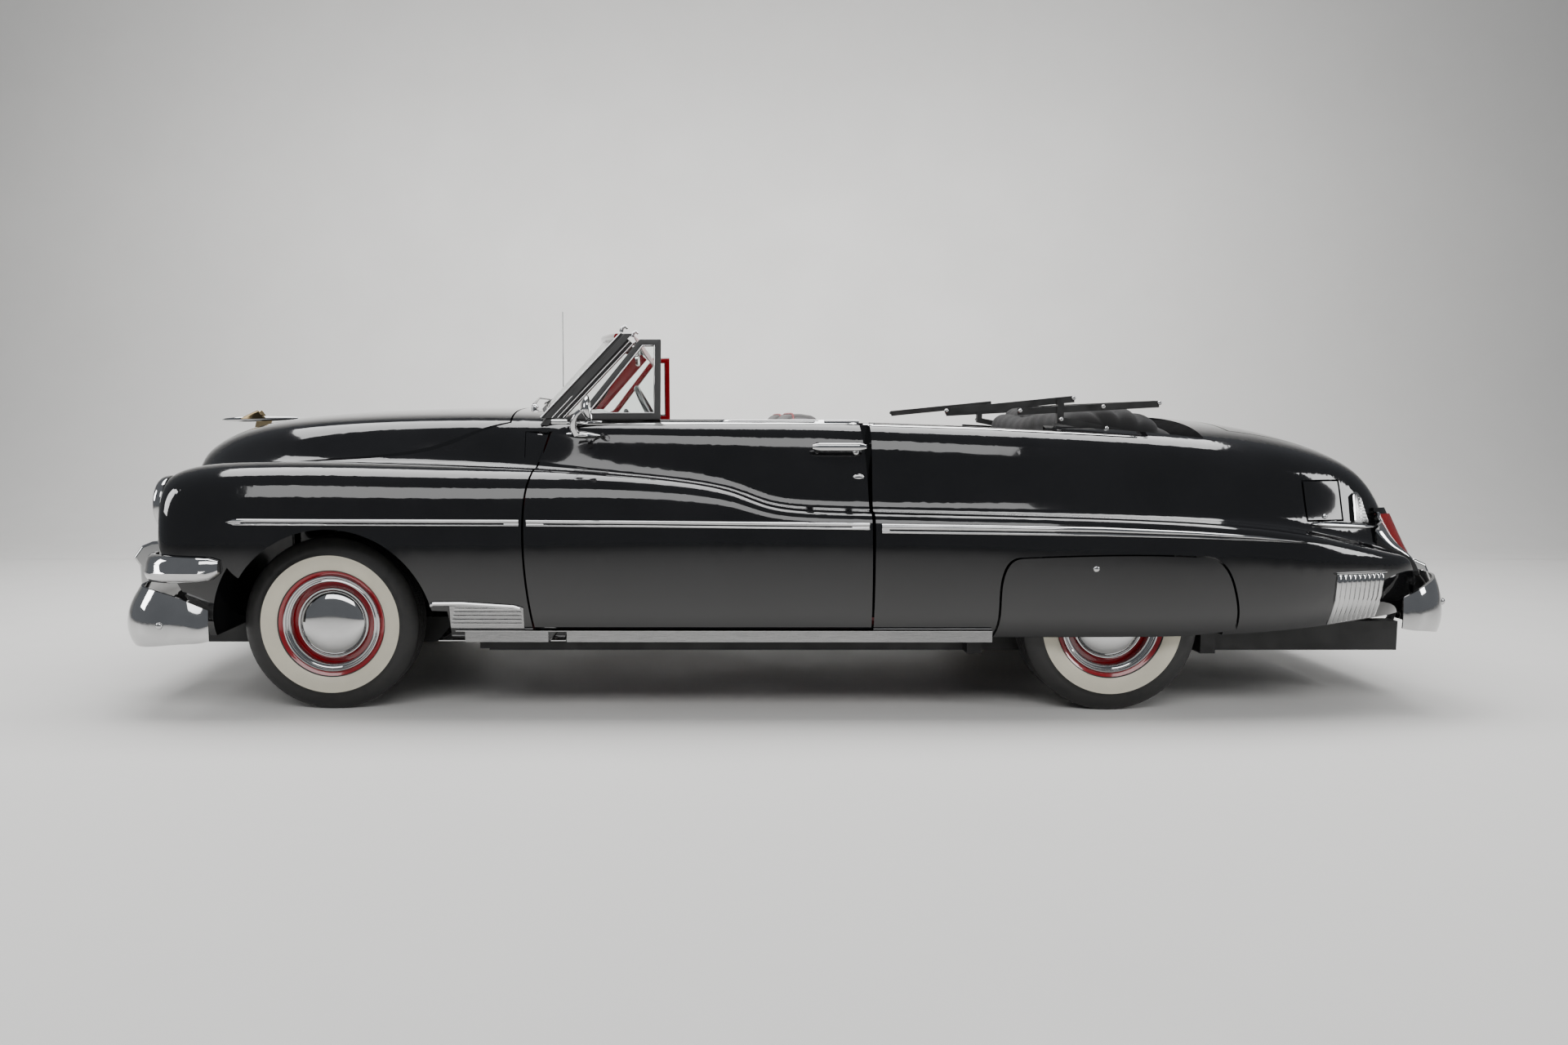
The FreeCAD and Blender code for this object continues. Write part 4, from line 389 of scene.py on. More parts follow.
def plain_box(bm, corner, far, bevel, segments):
    """Box between two opposite corners with rounded edges."""
    made = bmesh.ops.create_cube(bm, size=1.0)["verts"]
    low, high = zip(*(sorted(pair) for pair in zip(corner, far)))
    for vert in made:
        vert.co = [a + (c + 0.5) * (b - a) for a, b, c in zip(low, high, vert.co)]
    edges = list(dict.fromkeys(edge for vert in made for edge in vert.link_edges))
    bmesh.ops.bevel(bm, geom=edges, offset=bevel, segments=segments, profile=0.5,
                    affect="EDGES", material=-1)
    return bm


def dome(bm, centre, axis, radius, height, steps=24, foot=0.004):
    """Round head on a short foot."""
    axis = Vector(axis).normalized()
    profile = ((0.0, -foot), (radius, -foot), (radius, 0.0), (radius * 0.97, height * 0.32),
               (radius * 0.82, height * 0.66), (radius * 0.52, height * 0.9),
               (radius * 0.2, height * 0.99), (0.0, height))
    return lathe(bm, profile, Vector(centre), axis, steps, axis.orthogonal().normalized())


def power_curve(angle, power):
    """Cosine and sine squared off: 1 is a circle, smaller is boxier."""
    c, s = math.cos(angle), math.sin(angle)
    return (math.copysign(abs(c) ** power, c), math.copysign(abs(s) ** power, s))


def ball_place(vert, steps, power):
    """A unit ball's vertex as its place from end to end, its section's size and its angle."""
    z = max(-1.0, min(1.0, vert.co.z))
    t = math.sin(math.pi * (round(math.acos(-z) / math.pi * steps) / steps - 0.5))
    return t, (1 - min(1.0, abs(t)) ** power) ** (1 / power), math.atan2(vert.co.y, vert.co.x)


def pillow(centre, half, up, face, crown, pitch=1.0, groove=0.0, steps=150, ring=36):
    """Crowned closed cushion: half sizes across (y), along up and along its face direction."""
    bm, up, face = bmesh.new(), Vector(up).normalized(), Vector(face).normalized()
    made = bmesh.ops.create_uvsphere(bm, u_segments=ring, v_segments=steps, radius=1.0)["verts"]
    for vert in made:
        t, shrink, angle = ball_place(vert, steps, 7)
        y = half[0] * t
        a, b = power_curve(angle, 0.42)
        lift = half[2] * b * shrink
        if b > 0:
            lift += crown * (1 - a * a) * (1 - t * t) ** 0.5
            if abs(a) < 0.93:
                lift -= groove * (0.5 + 0.5 * math.cos(math.tau * y / pitch)) ** 5 \
                    * (1 - a ** 6) * shrink
        pull = 1 - 0.02 * (1 - t * t) * abs(b)
        vert.co = centre + Vector((0, y, 0)) + up * (half[1] * a * shrink * pull) + face * lift
    return bm


def piping(centre, half, up):
    """Sewn edge roll round a cushion's widest seam."""
    curve = [power_curve(math.tau * k / PIPING_STEPS, 0.3) for k in range(PIPING_STEPS)]
    points = [centre + Vector((0, half[0] * a, 0)) + up.normalized() * (half[1] * b)
              for a, b in curve + curve[:1]]
    return tube(bmesh.new(), points, PIPING_RADIUS, sides=8, up=(1, 0, 0))


def ray_tree(*nodes):
    """Ray tree over some of the car's solids."""
    bm = bmesh.new()
    for word in nodes:
        bm.from_mesh(frame["nodes"][word].data)
    tree = BVHTree.FromBMesh(bm)
    bm.free()
    return tree


def side_hit(tree, x, z, side, miss=0.9):
    """Distance of the panel from the middle plane at one place of a side."""
    place = tree.ray_cast(Vector((x, side * 2.0, z)), Vector((0, -side, 0)))[0]
    return abs(place.y) if place else miss


def end_hit(tree, y, z, end, miss=2.4):
    """Distance of the nose or tail surface from the middle at one place."""
    place = tree.ray_cast(Vector((end * 3.5, y, z)), Vector((-end, 0, 0)))[0]
    return abs(place.x) if place else miss


def ribbon(bm, tree, side, runs, profile, base=0.0, gains=None, end=False):
    """Closed strip laid on a side, with runs of (x, low z, high z) and a profile of
    (share, out), or on the nose or tail, with runs of (z, low y, high y)."""
    last = 2.3 if end else 0.9

    def place(i, k):
        nonlocal last
        along, low, high = runs[i]
        share, out = profile[k]
        across = low + share * (high - low)
        last = end_hit(tree, across, along, side, last) if end \
            else side_hit(tree, along, across, side, last)
        reaches = last + base + out * (gains[i] if gains else 1), last - RIBBON_SINK
        return [(side * reach, across, along) if end else (along, side * reach, across)
                for reach in reaches]

    return plate(bm, len(runs), len(profile), place)


def strip(tree, side, name, runs, profile, body="root", material="chrome", angle=CRISP,
          **more):
    """One ribbon as a piece of its own."""
    finish_piece(ribbon(bmesh.new(), tree, side, runs, profile), name, body, material, angle,
                 **more)


def side_dome(bm, tree, side, x, z, radius, height, tilt=(0, 0), lift=0.0):
    """Round head standing on a side panel."""
    y = side * (side_hit(tree, x, z, side) + lift)
    return dome(bm, (x, y, z), (tilt[0], side, tilt[1]), radius, height)


def bumper_bolts(name, node, side, end, corner, lean, height):
    """Bolt heads on a bumper: one at its corner and two on its face."""
    tree = ray_tree(node)
    bm = side_dome(bmesh.new(), tree, side, *corner, 0.014, 0.009, (lean, 0))
    for y in (side * 0.32, side * 0.62):
        dome(bm, (end * end_hit(tree, y, height, end), y, height), (end, 0, 0), 0.015, 0.009)
    finish_piece(bm, name)


def between(points, count):
    """Evenly spaced rows of numbers along a broken line of rows."""
    rows = []
    for k in range(count + 1):
        at = points[0][0] + (points[-1][0] - points[0][0]) * k / count
        i = max(0, min(len(points) - 2, sum(1 for p in points if p[0] <= at) - 1))
        a, b = points[i], points[i + 1]
        share = (at - a[0]) / (b[0] - a[0])
        rows.append(tuple(u + (v - u) * share for u, v in zip(a, b)))
    return rows


def flat_top(height, edge):
    return ((0.0, 0.0), (edge, height), (1 - edge, height), (1.0, 0.0))


def bead(height):
    return tuple((share, out * height) for share, out in BEAD)


# Finish of each solid; the rest are body paint
NODE_FINISHES = {
    "chrome": "bumper_front bumper_rear grille grille_surround headlamp_rims door_trim_left "
              "door_trim_right antenna door_mirror hood_ornament",
    "satin": "side_trim",
    "frame_black": "chassis_frame front_suspension rear_axle bumper_brackets fuel_tank radiator "
                   "seat_risers top_frame",
    "iron": "engine_block",
    "steel": "knuckle_left knuckle_right exhaust_system",
    "glass": "windshield_glass vent_glass_left vent_glass_right headlamp_lenses",
    "dash_red": "dashboard",
    "carpet": "floor_pan",
    "rubber": "windshield_frame",
    "black_plastic": "steering_wheel steering_column",
    "leather_red": "front_seat rear_seat",
    "top_cloth": "folded_top",
}


class CAR_OT_finish_nodes(bpy.types.Operator):
    """Gives every solid of the car its finish"""
    bl_idname = "car.finish_nodes"
    bl_label = "Finish the solids"

    def execute(self, context):
        make_materials(context.scene.car_finish, context.scene.car_sizes)
        named = {node: word for word, nodes in NODE_FINISHES.items() for node in nodes.split()}
        for word, node in frame["nodes"].items():
            finish = named.get(word, "paint")
            if word.startswith("tyre_"):
                finish = "tyre_wheel" + word[4:]
            elif word.startswith("wheel_"):
                finish = "wheel_red"
            slots = node.data.materials
            if not slots:
                slots.append(MATERIALS[finish])
            for index in range(len(slots)):
                slots[index] = MATERIALS[finish]
        return {"FINISHED"}


# Wheel profiles: radius, distance out from the wheel centre
SIDEWALL = ((0.191, 0.05), (0.196, 0.063), (0.204, 0.0745), (0.2085, 0.079), (0.213, 0.0815),
            (0.224, 0.0865), (0.24, 0.0905), (0.256, 0.0916), (0.2645, 0.0914), (0.2665, 0.0924),
            (0.269, 0.0924), (0.271, 0.0906), (0.285, 0.0894), (0.3, 0.086), (0.312, 0.0805),
            (0.322, 0.0745), (0.3285, 0.069))
TREAD = ((0.3335, 0.0645), (0.335, 0.06), (0.335, 0.049), (0.3285, 0.048), (0.3285, 0.043),
         (0.335, 0.042), (0.335, 0.027), (0.3285, 0.026), (0.3285, 0.021), (0.335, 0.02),
         (0.335, 0.0055), (0.3285, 0.0045))
RIM = ((0.06, 0.04), (0.128, 0.04), (0.138, 0.032), (0.146, 0.029), (0.158, 0.029),
       (0.166, 0.036), (0.18, 0.047), (0.184, 0.06), (0.19, 0.0665), (0.198, 0.0705),
       (0.204, 0.0745), (0.208, 0.0738), (0.209, 0.07), (0.2075, 0.0668), (0.199, 0.0635),
       (0.19, 0.058), (0.189, -0.05), (0.191, -0.063), (0.209, -0.068), (0.209, -0.072),
       (0.204, -0.0745), (0.188, -0.067), (0.184, -0.05), (0.165, -0.03), (0.16, 0.018),
       (0.06, 0.018), (0.06, 0.04))
TRIM_RING = ((0.1885, 0.064), (0.188, 0.071), (0.186, 0.0745), (0.1825, 0.0757),
             (0.179, 0.0742), (0.1765, 0.07), (0.1745, 0.0655), (0.1715, 0.064),
             (0.169, 0.0655), (0.1665, 0.0665), (0.1635, 0.0655), (0.161, 0.061),
             (0.1595, 0.052), (0.159, 0.04), (0.1605, 0.04), (0.1612, 0.052),
             (0.164, 0.063), (0.1745, 0.0615), (0.18, 0.0725), (0.1855, 0.072),
             (0.187, 0.064), (0.1885, 0.064))
CAP = ((0.134, 0.04), (0.1365, 0.043), (0.1368, 0.0465), (0.1348, 0.0492), (0.1318, 0.0497),
       (0.1292, 0.0486), (0.1275, 0.05), (0.1262, 0.0535), (0.1215, 0.059), (0.112, 0.066),
       (0.098, 0.0728), (0.08, 0.0785), (0.059, 0.0826), (0.036, 0.0852), (0.015, 0.0862),
       (0.0, 0.0864))
DRUM = ((0.04, -0.06), (0.14, -0.06), (0.148, -0.055), (0.15, -0.048), (0.15, 0.012),
        (0.04, 0.012), (0.04, -0.06))
TREAD_NOTCH, SHOULDER_NOTCH = 0.0012, 0.0022
WHEEL_STEPS, DRUM_STEPS = 96, 64


def wheel_piece(name, profile, body, centre, steps):
    """Lathed wheel part, with its outer face on the body's side of the car."""
    side = -1 if body.endswith("left") else 1
    line = [(r, out * side) for r, out in profile]
    return lathe(bmesh.new(), line, centre, (0, 1, 0), steps, (1, 0, 0)), name + body[6:]


class CAR_OT_tyres(bpy.types.Operator):
    """Builds four ribbed tyres with ivory side bands"""
    bl_idname = "car.tyres"
    bl_label = "Tyres"

    def execute(self, context):
        steps = context.scene.car_sizes.tyre_steps
        half = SIDEWALL + TREAD
        profile = half + tuple((r, -out) for r, out in reversed(half))
        for body, centre in AXLES.items():
            bm, name = wheel_piece("Tyre_", profile, body, centre, steps)
            for vert in bm.verts:
                arm = Vector((vert.co.x - centre.x, 0, vert.co.z - centre.z))
                out = abs(vert.co.y - centre.y)
                odd = round(math.atan2(arm.z, arm.x) / math.tau * steps) % 2
                if 0.3 < arm.length < 0.334 and out > 0.062 and odd:
                    vert.co -= arm.normalized() * SHOULDER_NOTCH
                elif arm.length > 0.32 and out < 0.05:
                    vert.co.y += TREAD_NOTCH if odd else -TREAD_NOTCH
            finish_piece(bm, name, body, "tyre_" + body, 50.0, ("tyre_" + body[6:],),
                         "whitewall_tyre")
        return {"FINISHED"}


class CAR_OT_wheels(bpy.types.Operator):
    """Builds the red rims, bright trim rings and polished hub caps"""
    bl_idname = "car.wheels"
    bl_label = "Wheels"

    def execute(self, context):
        for body, centre in AXLES.items():
            for part, profile, material, steps in (
                    ("Rim_", RIM, "wheel_red", WHEEL_STEPS),
                    ("Trim_ring_", TRIM_RING, "chrome", WHEEL_STEPS),
                    ("Hub_cap_", CAP, "chrome", WHEEL_STEPS),
                    ("Brake_drum_", DRUM, "iron", DRUM_STEPS)):
                bm, name = wheel_piece(part, profile, body, centre, steps)
                finish_piece(bm, name, body, material, CRISP,
                             (body,) if part == "Rim_" else ())
        return {"FINISHED"}


# Outline of each strip on a side: x, low z, high z
FENDER_STRIP = ((-2.091, 0.738, 0.74), (-2.082, 0.729, 0.749), (-2.066, 0.7265, 0.7525),
                (-1.002, 0.7245, 0.75))
DOOR_STRIP = ((-0.9735, 0.724, 0.7495), (-0.55, 0.721, 0.747), (0.2975, 0.711, 0.739))
QUARTER_STRIP = ((0.317, 0.699, 0.736), (0.75, 0.6935, 0.73), (1.161, 0.688, 0.722),
                 (1.5, 0.679, 0.706), (1.75, 0.668, 0.688), (1.89, 0.66, 0.67),
                 (1.945, 0.66, 0.662))
BELT_DOOR = ((-0.883, 1.1005, 1.1195), (0.283, 1.1005, 1.1195))
BELT_QUARTER = ((0.302, 1.095, 1.107), (0.7, 1.0835, 1.0935), (1.05, 1.066, 1.075),
                (1.361, 1.05, 1.057))
GRAVEL = ((-1.349, 0.337, 0.43), (-1.33, 0.337, 0.443), (-1.22, 0.337, 0.4435),
          (-1.024, 0.337, 0.431), (-0.99, 0.337, 0.42))
TAIL_FIN = ((2.215, 0.722, 0.724), (2.219, 0.722, 0.826), (2.224, 0.722, 0.835),
            (2.24, 0.722, 0.838), (2.252, 0.722, 0.832), (2.258, 0.722, 0.82),
            (2.283, 0.718, 0.722))
# Section of each strip: share of its width, height
MOULDING = ((0.0, 0.0), (0.04, 0.005), (0.14, 0.007), (0.24, 0.006), (0.3, 0.0035),
            (0.44, 0.0035), (0.5, 0.0065), (0.6, 0.0095), (0.75, 0.0105), (0.9, 0.0085),
            (0.97, 0.0045), (1.0, 0.0))
CHANNEL = ((0.3, 0.0), (0.31, 0.004), (0.43, 0.004), (0.44, 0.0))
BEAD = ((0.0, 0.0), (0.12, 0.6), (0.35, 0.93), (0.65, 0.93), (0.88, 0.6), (1.0, 0.0))
GUARD = ((0.0, 0.3), (0.02, 0.9), (0.5, 1.0), (0.8, 1.0), (0.93, 0.75), (0.96, 0.2), (1.0, 0.0))
ROCKER_ENDS, ROCKER_Z = (-1.316, 0.766), (0.284, 0.332)
GUARD_START, GUARD_LENGTH, GUARD_FLUTES, FLUTE_STEPS = 2.068, 0.212, 10, 8
GRAVEL_RIBS, GRAVEL_RIB_Z, GRAVEL_RIB_PITCH = 5, 0.352, 0.0145
SPEAR_START, SPEAR_LENGTH, SPEAR_HALF, SPEAR_Z = 2.031, 0.288, 0.0115, 0.719
FIN_RIBS, FIN_RIB_Z, FIN_RIB_PITCH = 7, 0.738, 0.0125
CORNER_Z, CORNER_HEIGHT = 0.955, 0.122
IRON_Y, IRON_Z = 0.485, 0.345


class CAR_OT_body_fill(bpy.types.Operator):
    """Closes the small gap ahead of each door and fits the bumper irons"""
    bl_idname = "car.body_fill"
    bl_label = "Body corners"

    def execute(self, context):
        for word, side in SIDES:
            tree = ray_tree("front_fender_" + word, "door_" + word)

            def corner(i, k):
                z = CORNER_Z + CORNER_HEIGHT * i / 14
                start, stop, rear = -1.008, -0.9345 + max(0.0, z - 1.0) * 0.3, -0.905
                left, right = (side_hit(tree, x, z, side, 0.72) for x in (start - 0.004, rear))
                x = start + (stop - start) * k / 12
                y = left + (right - left) * (x - start) / (rear - start) - 0.0008
                return (x, side * y, z), (x, side * (y - 0.004), z)

            finish_piece(plate(bmesh.new(), 15, 13, corner), "Fender_corner_" + word, "root",
                         "paint", CRISP)
        bm = bmesh.new()
        for end, rail, word in ((-1, 2.47, "bumper_front"), (1, 2.51, "bumper_rear")):
            tree = ray_tree(word)
            for y in (-IRON_Y, IRON_Y):
                skin = tree.ray_cast(Vector((end * 2.2, y, IRON_Z)), Vector((end, 0, 0)))[0]
                reach = abs(skin.x) if skin else 2.56
                tube(bm, [(end * (rail - 0.03), y, 0.272), (end * (rail + 0.01), y, 0.276),
                          (end * (reach - 0.03), y, 0.325), (end * (reach - 0.002), y, IRON_Z)],
                     [0.024, 0.024, 0.021, 0.023], sides=16, flat=0.45, up=(0, 1, 0))
        finish_piece(bm, "Bumper_irons", "root", "frame_black", 50.0, ("bumper_brackets",))
        tree = ray_tree("fuel_door", "quarter_panel_left")
        finish_piece(side_dome(bmesh.new(), tree, -1, 2.09, 0.745, 0.01, 0.009),
                     "Fuel_door_knob", "fuel_door")
        return {"FINISHED"}


def side_tree(word):
    return ray_tree("front_fender_" + word, "door_" + word, "quarter_panel_" + word,
                    "rocker_panels", "fender_skirts")


class CAR_OT_side_trim(bpy.types.Operator):
    """Lays the bright mouldings, shields and beads on both sides"""
    bl_idname = "car.side_trim"
    bl_label = "Side trim"

    def execute(self, context):
        for word, side in SIDES:
            tree = side_tree(word)
            for part, body, points, count, nodes in (
                    ("Fender_", "root", FENDER_STRIP, 40, ("side_trim",)),
                    ("Door_", "door_" + word, DOOR_STRIP, 40, ()),
                    ("Quarter_", "root", QUARTER_STRIP, 60, ())):
                runs = between(points, count)
                strip(tree, side, part + "moulding_" + word, runs, MOULDING, body, angle=60.0,
                      replaces=nodes)
                strip(tree, side, part + "channel_" + word, runs[2:-2], CHANNEL, body,
                      "black_plastic")
            self.shields(tree, word, side)
            self.stone_guard(tree, word, side)
            self.tail_marks(tree, word, side)
        return {"FINISHED"}

    def shields(self, tree, word, side):
        """Gravel shield, rocker moulding and belt line."""
        gravel = between(GRAVEL, 30)
        strip(tree, side, "Gravel_shield_" + word, gravel, flat_top(0.005, 0.02),
              material="satin")
        top = [(x, high - 0.02, high - 0.001) for x, low, high in gravel[1:-1]]
        bm = ribbon(bmesh.new(), tree, side, top, bead(0.01))
        for k in range(GRAVEL_RIBS):
            z = GRAVEL_RIB_Z + k * GRAVEL_RIB_PITCH
            line = ((-1.262 + 0.004 * k, z, z + 0.008), (-0.998, z, z + 0.008))
            ribbon(bm, tree, side, between(line, 12), bead(0.009))
        finish_piece(bm, "Gravel_ribs_" + word, angle=CRISP)
        start, stop = ROCKER_ENDS
        strip(tree, side, "Rocker_moulding_" + word,
              between(((start,) + ROCKER_Z, (stop,) + ROCKER_Z), 60), flat_top(0.012, 0.05),
              material="satin")
        bm = bmesh.new()
        for low, high in ((0.283, 0.293), (0.323, 0.333)):
            ribbon(bm, tree, side, between(((start, low, high), (stop, low, high)), 60),
                   bead(0.017))
        finish_piece(bm, "Rocker_beads_" + word, angle=CRISP)
        strip(tree, side, "Quarter_belt_" + word, between(BELT_QUARTER, 40), bead(0.006))

    def stone_guard(self, tree, word, side):
        """Fluted guard behind the skirt, under a bright bead."""
        last = GUARD_FLUTES * FLUTE_STEPS
        runs = [(GUARD_START + k / last * GUARD_LENGTH, 0.337 + 0.022 * (k / last), 0.541)
                for k in range(last + 1)]
        swells = [0.003 + 0.0065 * abs(math.sin(math.pi * k / FLUTE_STEPS)) ** 0.7
                  for k in range(last + 1)]
        bm = ribbon(bmesh.new(), tree, side, runs, GUARD, base=0.002, gains=swells)
        ribbon(bm, tree, side, between(((2.062, 0.536, 0.546), (2.284, 0.536, 0.546)), 12),
               bead(0.012))
        finish_piece(bm, "Stone_guard_" + word, angle=50.0)

    def tail_marks(self, tree, word, side):
        """Spear with its upright fin, and the skirt lock."""
        spear = []
        for k in range(33):
            share = k / 32
            half = SPEAR_HALF * min(1.0, 6 * share + 0.15) ** 0.5 \
                * min(1.0, 5 * (1 - share) + 0.05) ** 0.6
            z = SPEAR_Z - 0.017 * share
            spear.append((SPEAR_START + SPEAR_LENGTH * share, z - half, z + half))
        strip(tree, side, "Tail_spear_" + word, spear, bead(0.013), angle=60.0)
        strip(tree, side, "Tail_fin_" + word, between(TAIL_FIN, 30),
              ((0.0, 0.006), (0.3, 0.009), (0.9, 0.009), (1.0, 0.0)), material="satin")
        bm = bmesh.new()
        for k in range(FIN_RIBS):
            z = FIN_RIB_Z + k * FIN_RIB_PITCH
            edge = 2.283 - (z - 0.722) * 0.255 - 0.003
            ribbon(bm, tree, side, between(((2.243, z, z + 0.003), (edge, z, z + 0.003)), 6),
                   bead(0.0035), base=0.008)
        ribbon(bm, tree, side, between(((2.216, 0.724, 0.828), (2.222, 0.724, 0.834)), 4),
               flat_top(0.013, 0.05))
        finish_piece(bm, "Fin_ribs_" + word, angle=CRISP)
        finish_piece(side_dome(bmesh.new(), tree, side, 1.14, 0.567, 0.012, 0.006),
                     "Skirt_lock_" + word, angle=CRISP)


VENT = ((-0.858, 1.12), (-0.77, 1.171), (-0.565, 1.44), (-0.482, 1.44), (-0.482, 1.12))
VENT_LEAN = math.radians(14.5)
HANDLE_Z, HANDLE_START, HANDLE_LENGTH = 1.0165, 0.092, 0.2
HANDLE_OUT, HANDLE_RADIUS, HANDLE_POSTS = 0.886, 0.0155, (0.118, 0.268)
OVAL_START, OVAL_LENGTH, OVAL_HALF, OVAL_Z = 0.25, 0.042, 0.01, 0.9035
DOOR_FACE, PANEL_X, PANEL_Z = 0.735, (-0.86, 0.225), (0.42, 1.085)
ARM_REST_X, ARM_REST_Z = (-0.36, 0.02), (0.8, 0.87)
PLEATS, PLEAT_START, PLEAT_PITCH, PLEAT_WIDTH, PLEAT_Z = 13, -0.83, 0.083, 0.078, (0.47, 0.76)
MIRROR_CENTRE, MIRROR_AXIS = Vector((-0.745, -0.905, 1.16)), Vector((1, 0, 0.12))
MIRROR_SHELL = ((0.0, -0.026), (0.02, -0.0255), (0.036, -0.019), (0.047, -0.008), (0.0505, 0.0),
                (0.0505, 0.004), (0.047, 0.006), (0.045, 0.003), (0.0, 0.003))
MIRROR_ARM = ((-0.772, -0.905, 1.152), (-0.79, -0.903, 1.138), (-0.802, -0.898, 1.115),
              (-0.804, -0.888, 1.088), (-0.795, -0.872, 1.066))


class CAR_OT_door_fittings(bpy.types.Operator):
    """Adds handles, locks, the mirror and the inner door panels"""
    bl_idname = "car.door_fittings"
    bl_label = "Door fittings"

    def execute(self, context):
        for word, side in SIDES:
            body, tree = "door_" + word, side_tree(word)
            self.handle(tree, word, side)
            oval = [(OVAL_START + OVAL_LENGTH * k / 12,
                     OVAL_HALF * max(0.02, 1 - ((k - 6) / 6) ** 2) ** 0.5) for k in range(13)]
            strip(tree, side, "Door_oval_" + word,
                  [(x, OVAL_Z - half, OVAL_Z + half) for x, half in oval], bead(0.004), body)
            self.inner_panel(word, side)
            strip(tree, side, "Door_belt_" + word, between(BELT_DOOR, 60), bead(0.007), body,
                  replaces=("door_trim_" + word,))
            self.vent(word, side)
        self.mirror()
        return {"FINISHED"}

    def handle(self, tree, word, side):
        """Pull handle on two posts, with its lock."""
        arcs = [math.sin(math.pi * k / 16) for k in range(17)]
        ends = [math.sin(math.pi * min(k, 16 - k) / 10) for k in range(17)]
        run = [(HANDLE_START + HANDLE_LENGTH * k / 16, side * (HANDLE_OUT + 0.006 * arc), HANDLE_Z)
               for k, arc in enumerate(arcs)]
        bm = tube(bmesh.new(), run, [HANDLE_RADIUS * min(1.0, 0.55 + 0.9 * end) for end in ends],
                  sides=16, flat=0.66)
        for x in HANDLE_POSTS:
            out = side_hit(tree, x, HANDLE_Z, side)
            tube(bm, [(x, side * (out - 0.004), HANDLE_Z), (x, side * 0.884, HANDLE_Z)],
                 [0.017, 0.011], sides=16, up=(1, 0, 0))
        side_dome(bm, tree, side, 0.261, 0.996, 0.0125, 0.009, (0, 0.25), 0.002)
        finish_piece(bm, "Door_handle_" + word, "door_" + word, angle=50.0)

    def vent(self, word, side):
        """Black ventilator frame leaning in with the screen, its red lining and its bead."""
        foot, body = Vector((0, side * 0.756, 1.12)), "door_" + word
        lean = Matrix.Rotation(side * VENT_LEAN, 3, "X")
        for name, wide, start, thick, material in (
                ("Vent_frame_", 0.025, 0.741, 0.017, "rubber"),
                ("Vent_lining_", 0.022, 0.7365, 0.004, "wheel_red")):
            bm = bmesh.new()
            face = bm.faces.new([bm.verts.new((x, side * start, z)) for x, z in VENT])
            bm.normal_update()
            bmesh.ops.inset_region(bm, faces=[face], thickness=wide, use_even_offset=True,
                                   use_boundary=True)
            out = Vector((0, side * thick, 0))
            if material == "rubber":
                line = [foot + lean @ (vert.co + out - foot) for vert in face.verts]
            bmesh.ops.delete(bm, geom=[face], context="FACES_ONLY")
            bmesh.ops.translate(bm, vec=out, verts=extruded(bm, bm.faces[:]))
            bmesh.ops.recalc_face_normals(bm, faces=bm.faces[:])
            bmesh.ops.bevel(bm, geom=bm.edges[:], offset=0.0015, segments=2, profile=0.5,
                            affect="EDGES", material=-1)
            bmesh.ops.rotate(bm, cent=foot, matrix=lean, verts=bm.verts[:])
            finish_piece(bm, name + word, body, material, 40.0)
        finish_piece(tube(bmesh.new(), line + line[:1], 0.0028, sides=8, up=(0, 1, 0)),
                     "Vent_bead_" + word, body)

    def inner_panel(self, word, side):
        """Leather panel, arm rest, pleats, crank and pull inside the door."""
        body, face = "door_" + word, side * DOOR_FACE

        def slab(bm, x, z, outer, inner, bevel, segments=3):
            return plain_box(bm, (x[0], face - side * outer, z[0]),
                             (x[1], face - side * inner, z[1]), bevel, segments)

        finish_piece(slab(bmesh.new(), PANEL_X, PANEL_Z, 0, 0.004, 0.0015),
                     "Door_panel_" + word, body, "leather_dark", CRISP)
        finish_piece(slab(bmesh.new(), ARM_REST_X, ARM_REST_Z, 0, 0.052, 0.016),
                     "Door_arm_rest_" + word, body, "leather_red", CRISP)
        bm = bmesh.new()
        for k in range(PLEATS):
            x = PLEAT_START + k * PLEAT_PITCH
            slab(bm, (x, x + PLEAT_WIDTH), PLEAT_Z, 0.003, 0.0145, 0.005)
        finish_piece(bm, "Door_pleats_" + word, body, "leather_red", CRISP)
        bm = bmesh.new()
        for z in (0.775, 0.905):
            slab(bm, (-0.85, 0.215), (z, z + 0.008), 0, 0.008, 0.0025, 2)
        out = (0, -side, 0)
        for x, z, radius, start, reach, arm in (
                (-0.46, 0.94, 0.022, 0.012, (0.09, 0.02, -0.035), (0.008, 0.006)),
                (-0.05, 0.955, 0.02, 0.014, (-0.085, 0.018, 0.006), (0.009, 0.006))):
            root = Vector((x, face - side * 0.004, z))
            dome(bm, root, out, radius, 0.012)
            tip = root + Vector((reach[0], -side * reach[1], reach[2]))
            tube(bm, [root + Vector((0, -side * start, 0)), tip], arm)
            if x < -0.4:
                dome(bm, tip + Vector((0, -side * 0.002, 0)), out, 0.013, 0.02)
        finish_piece(bm, "Door_hardware_" + word, body, angle=50.0)

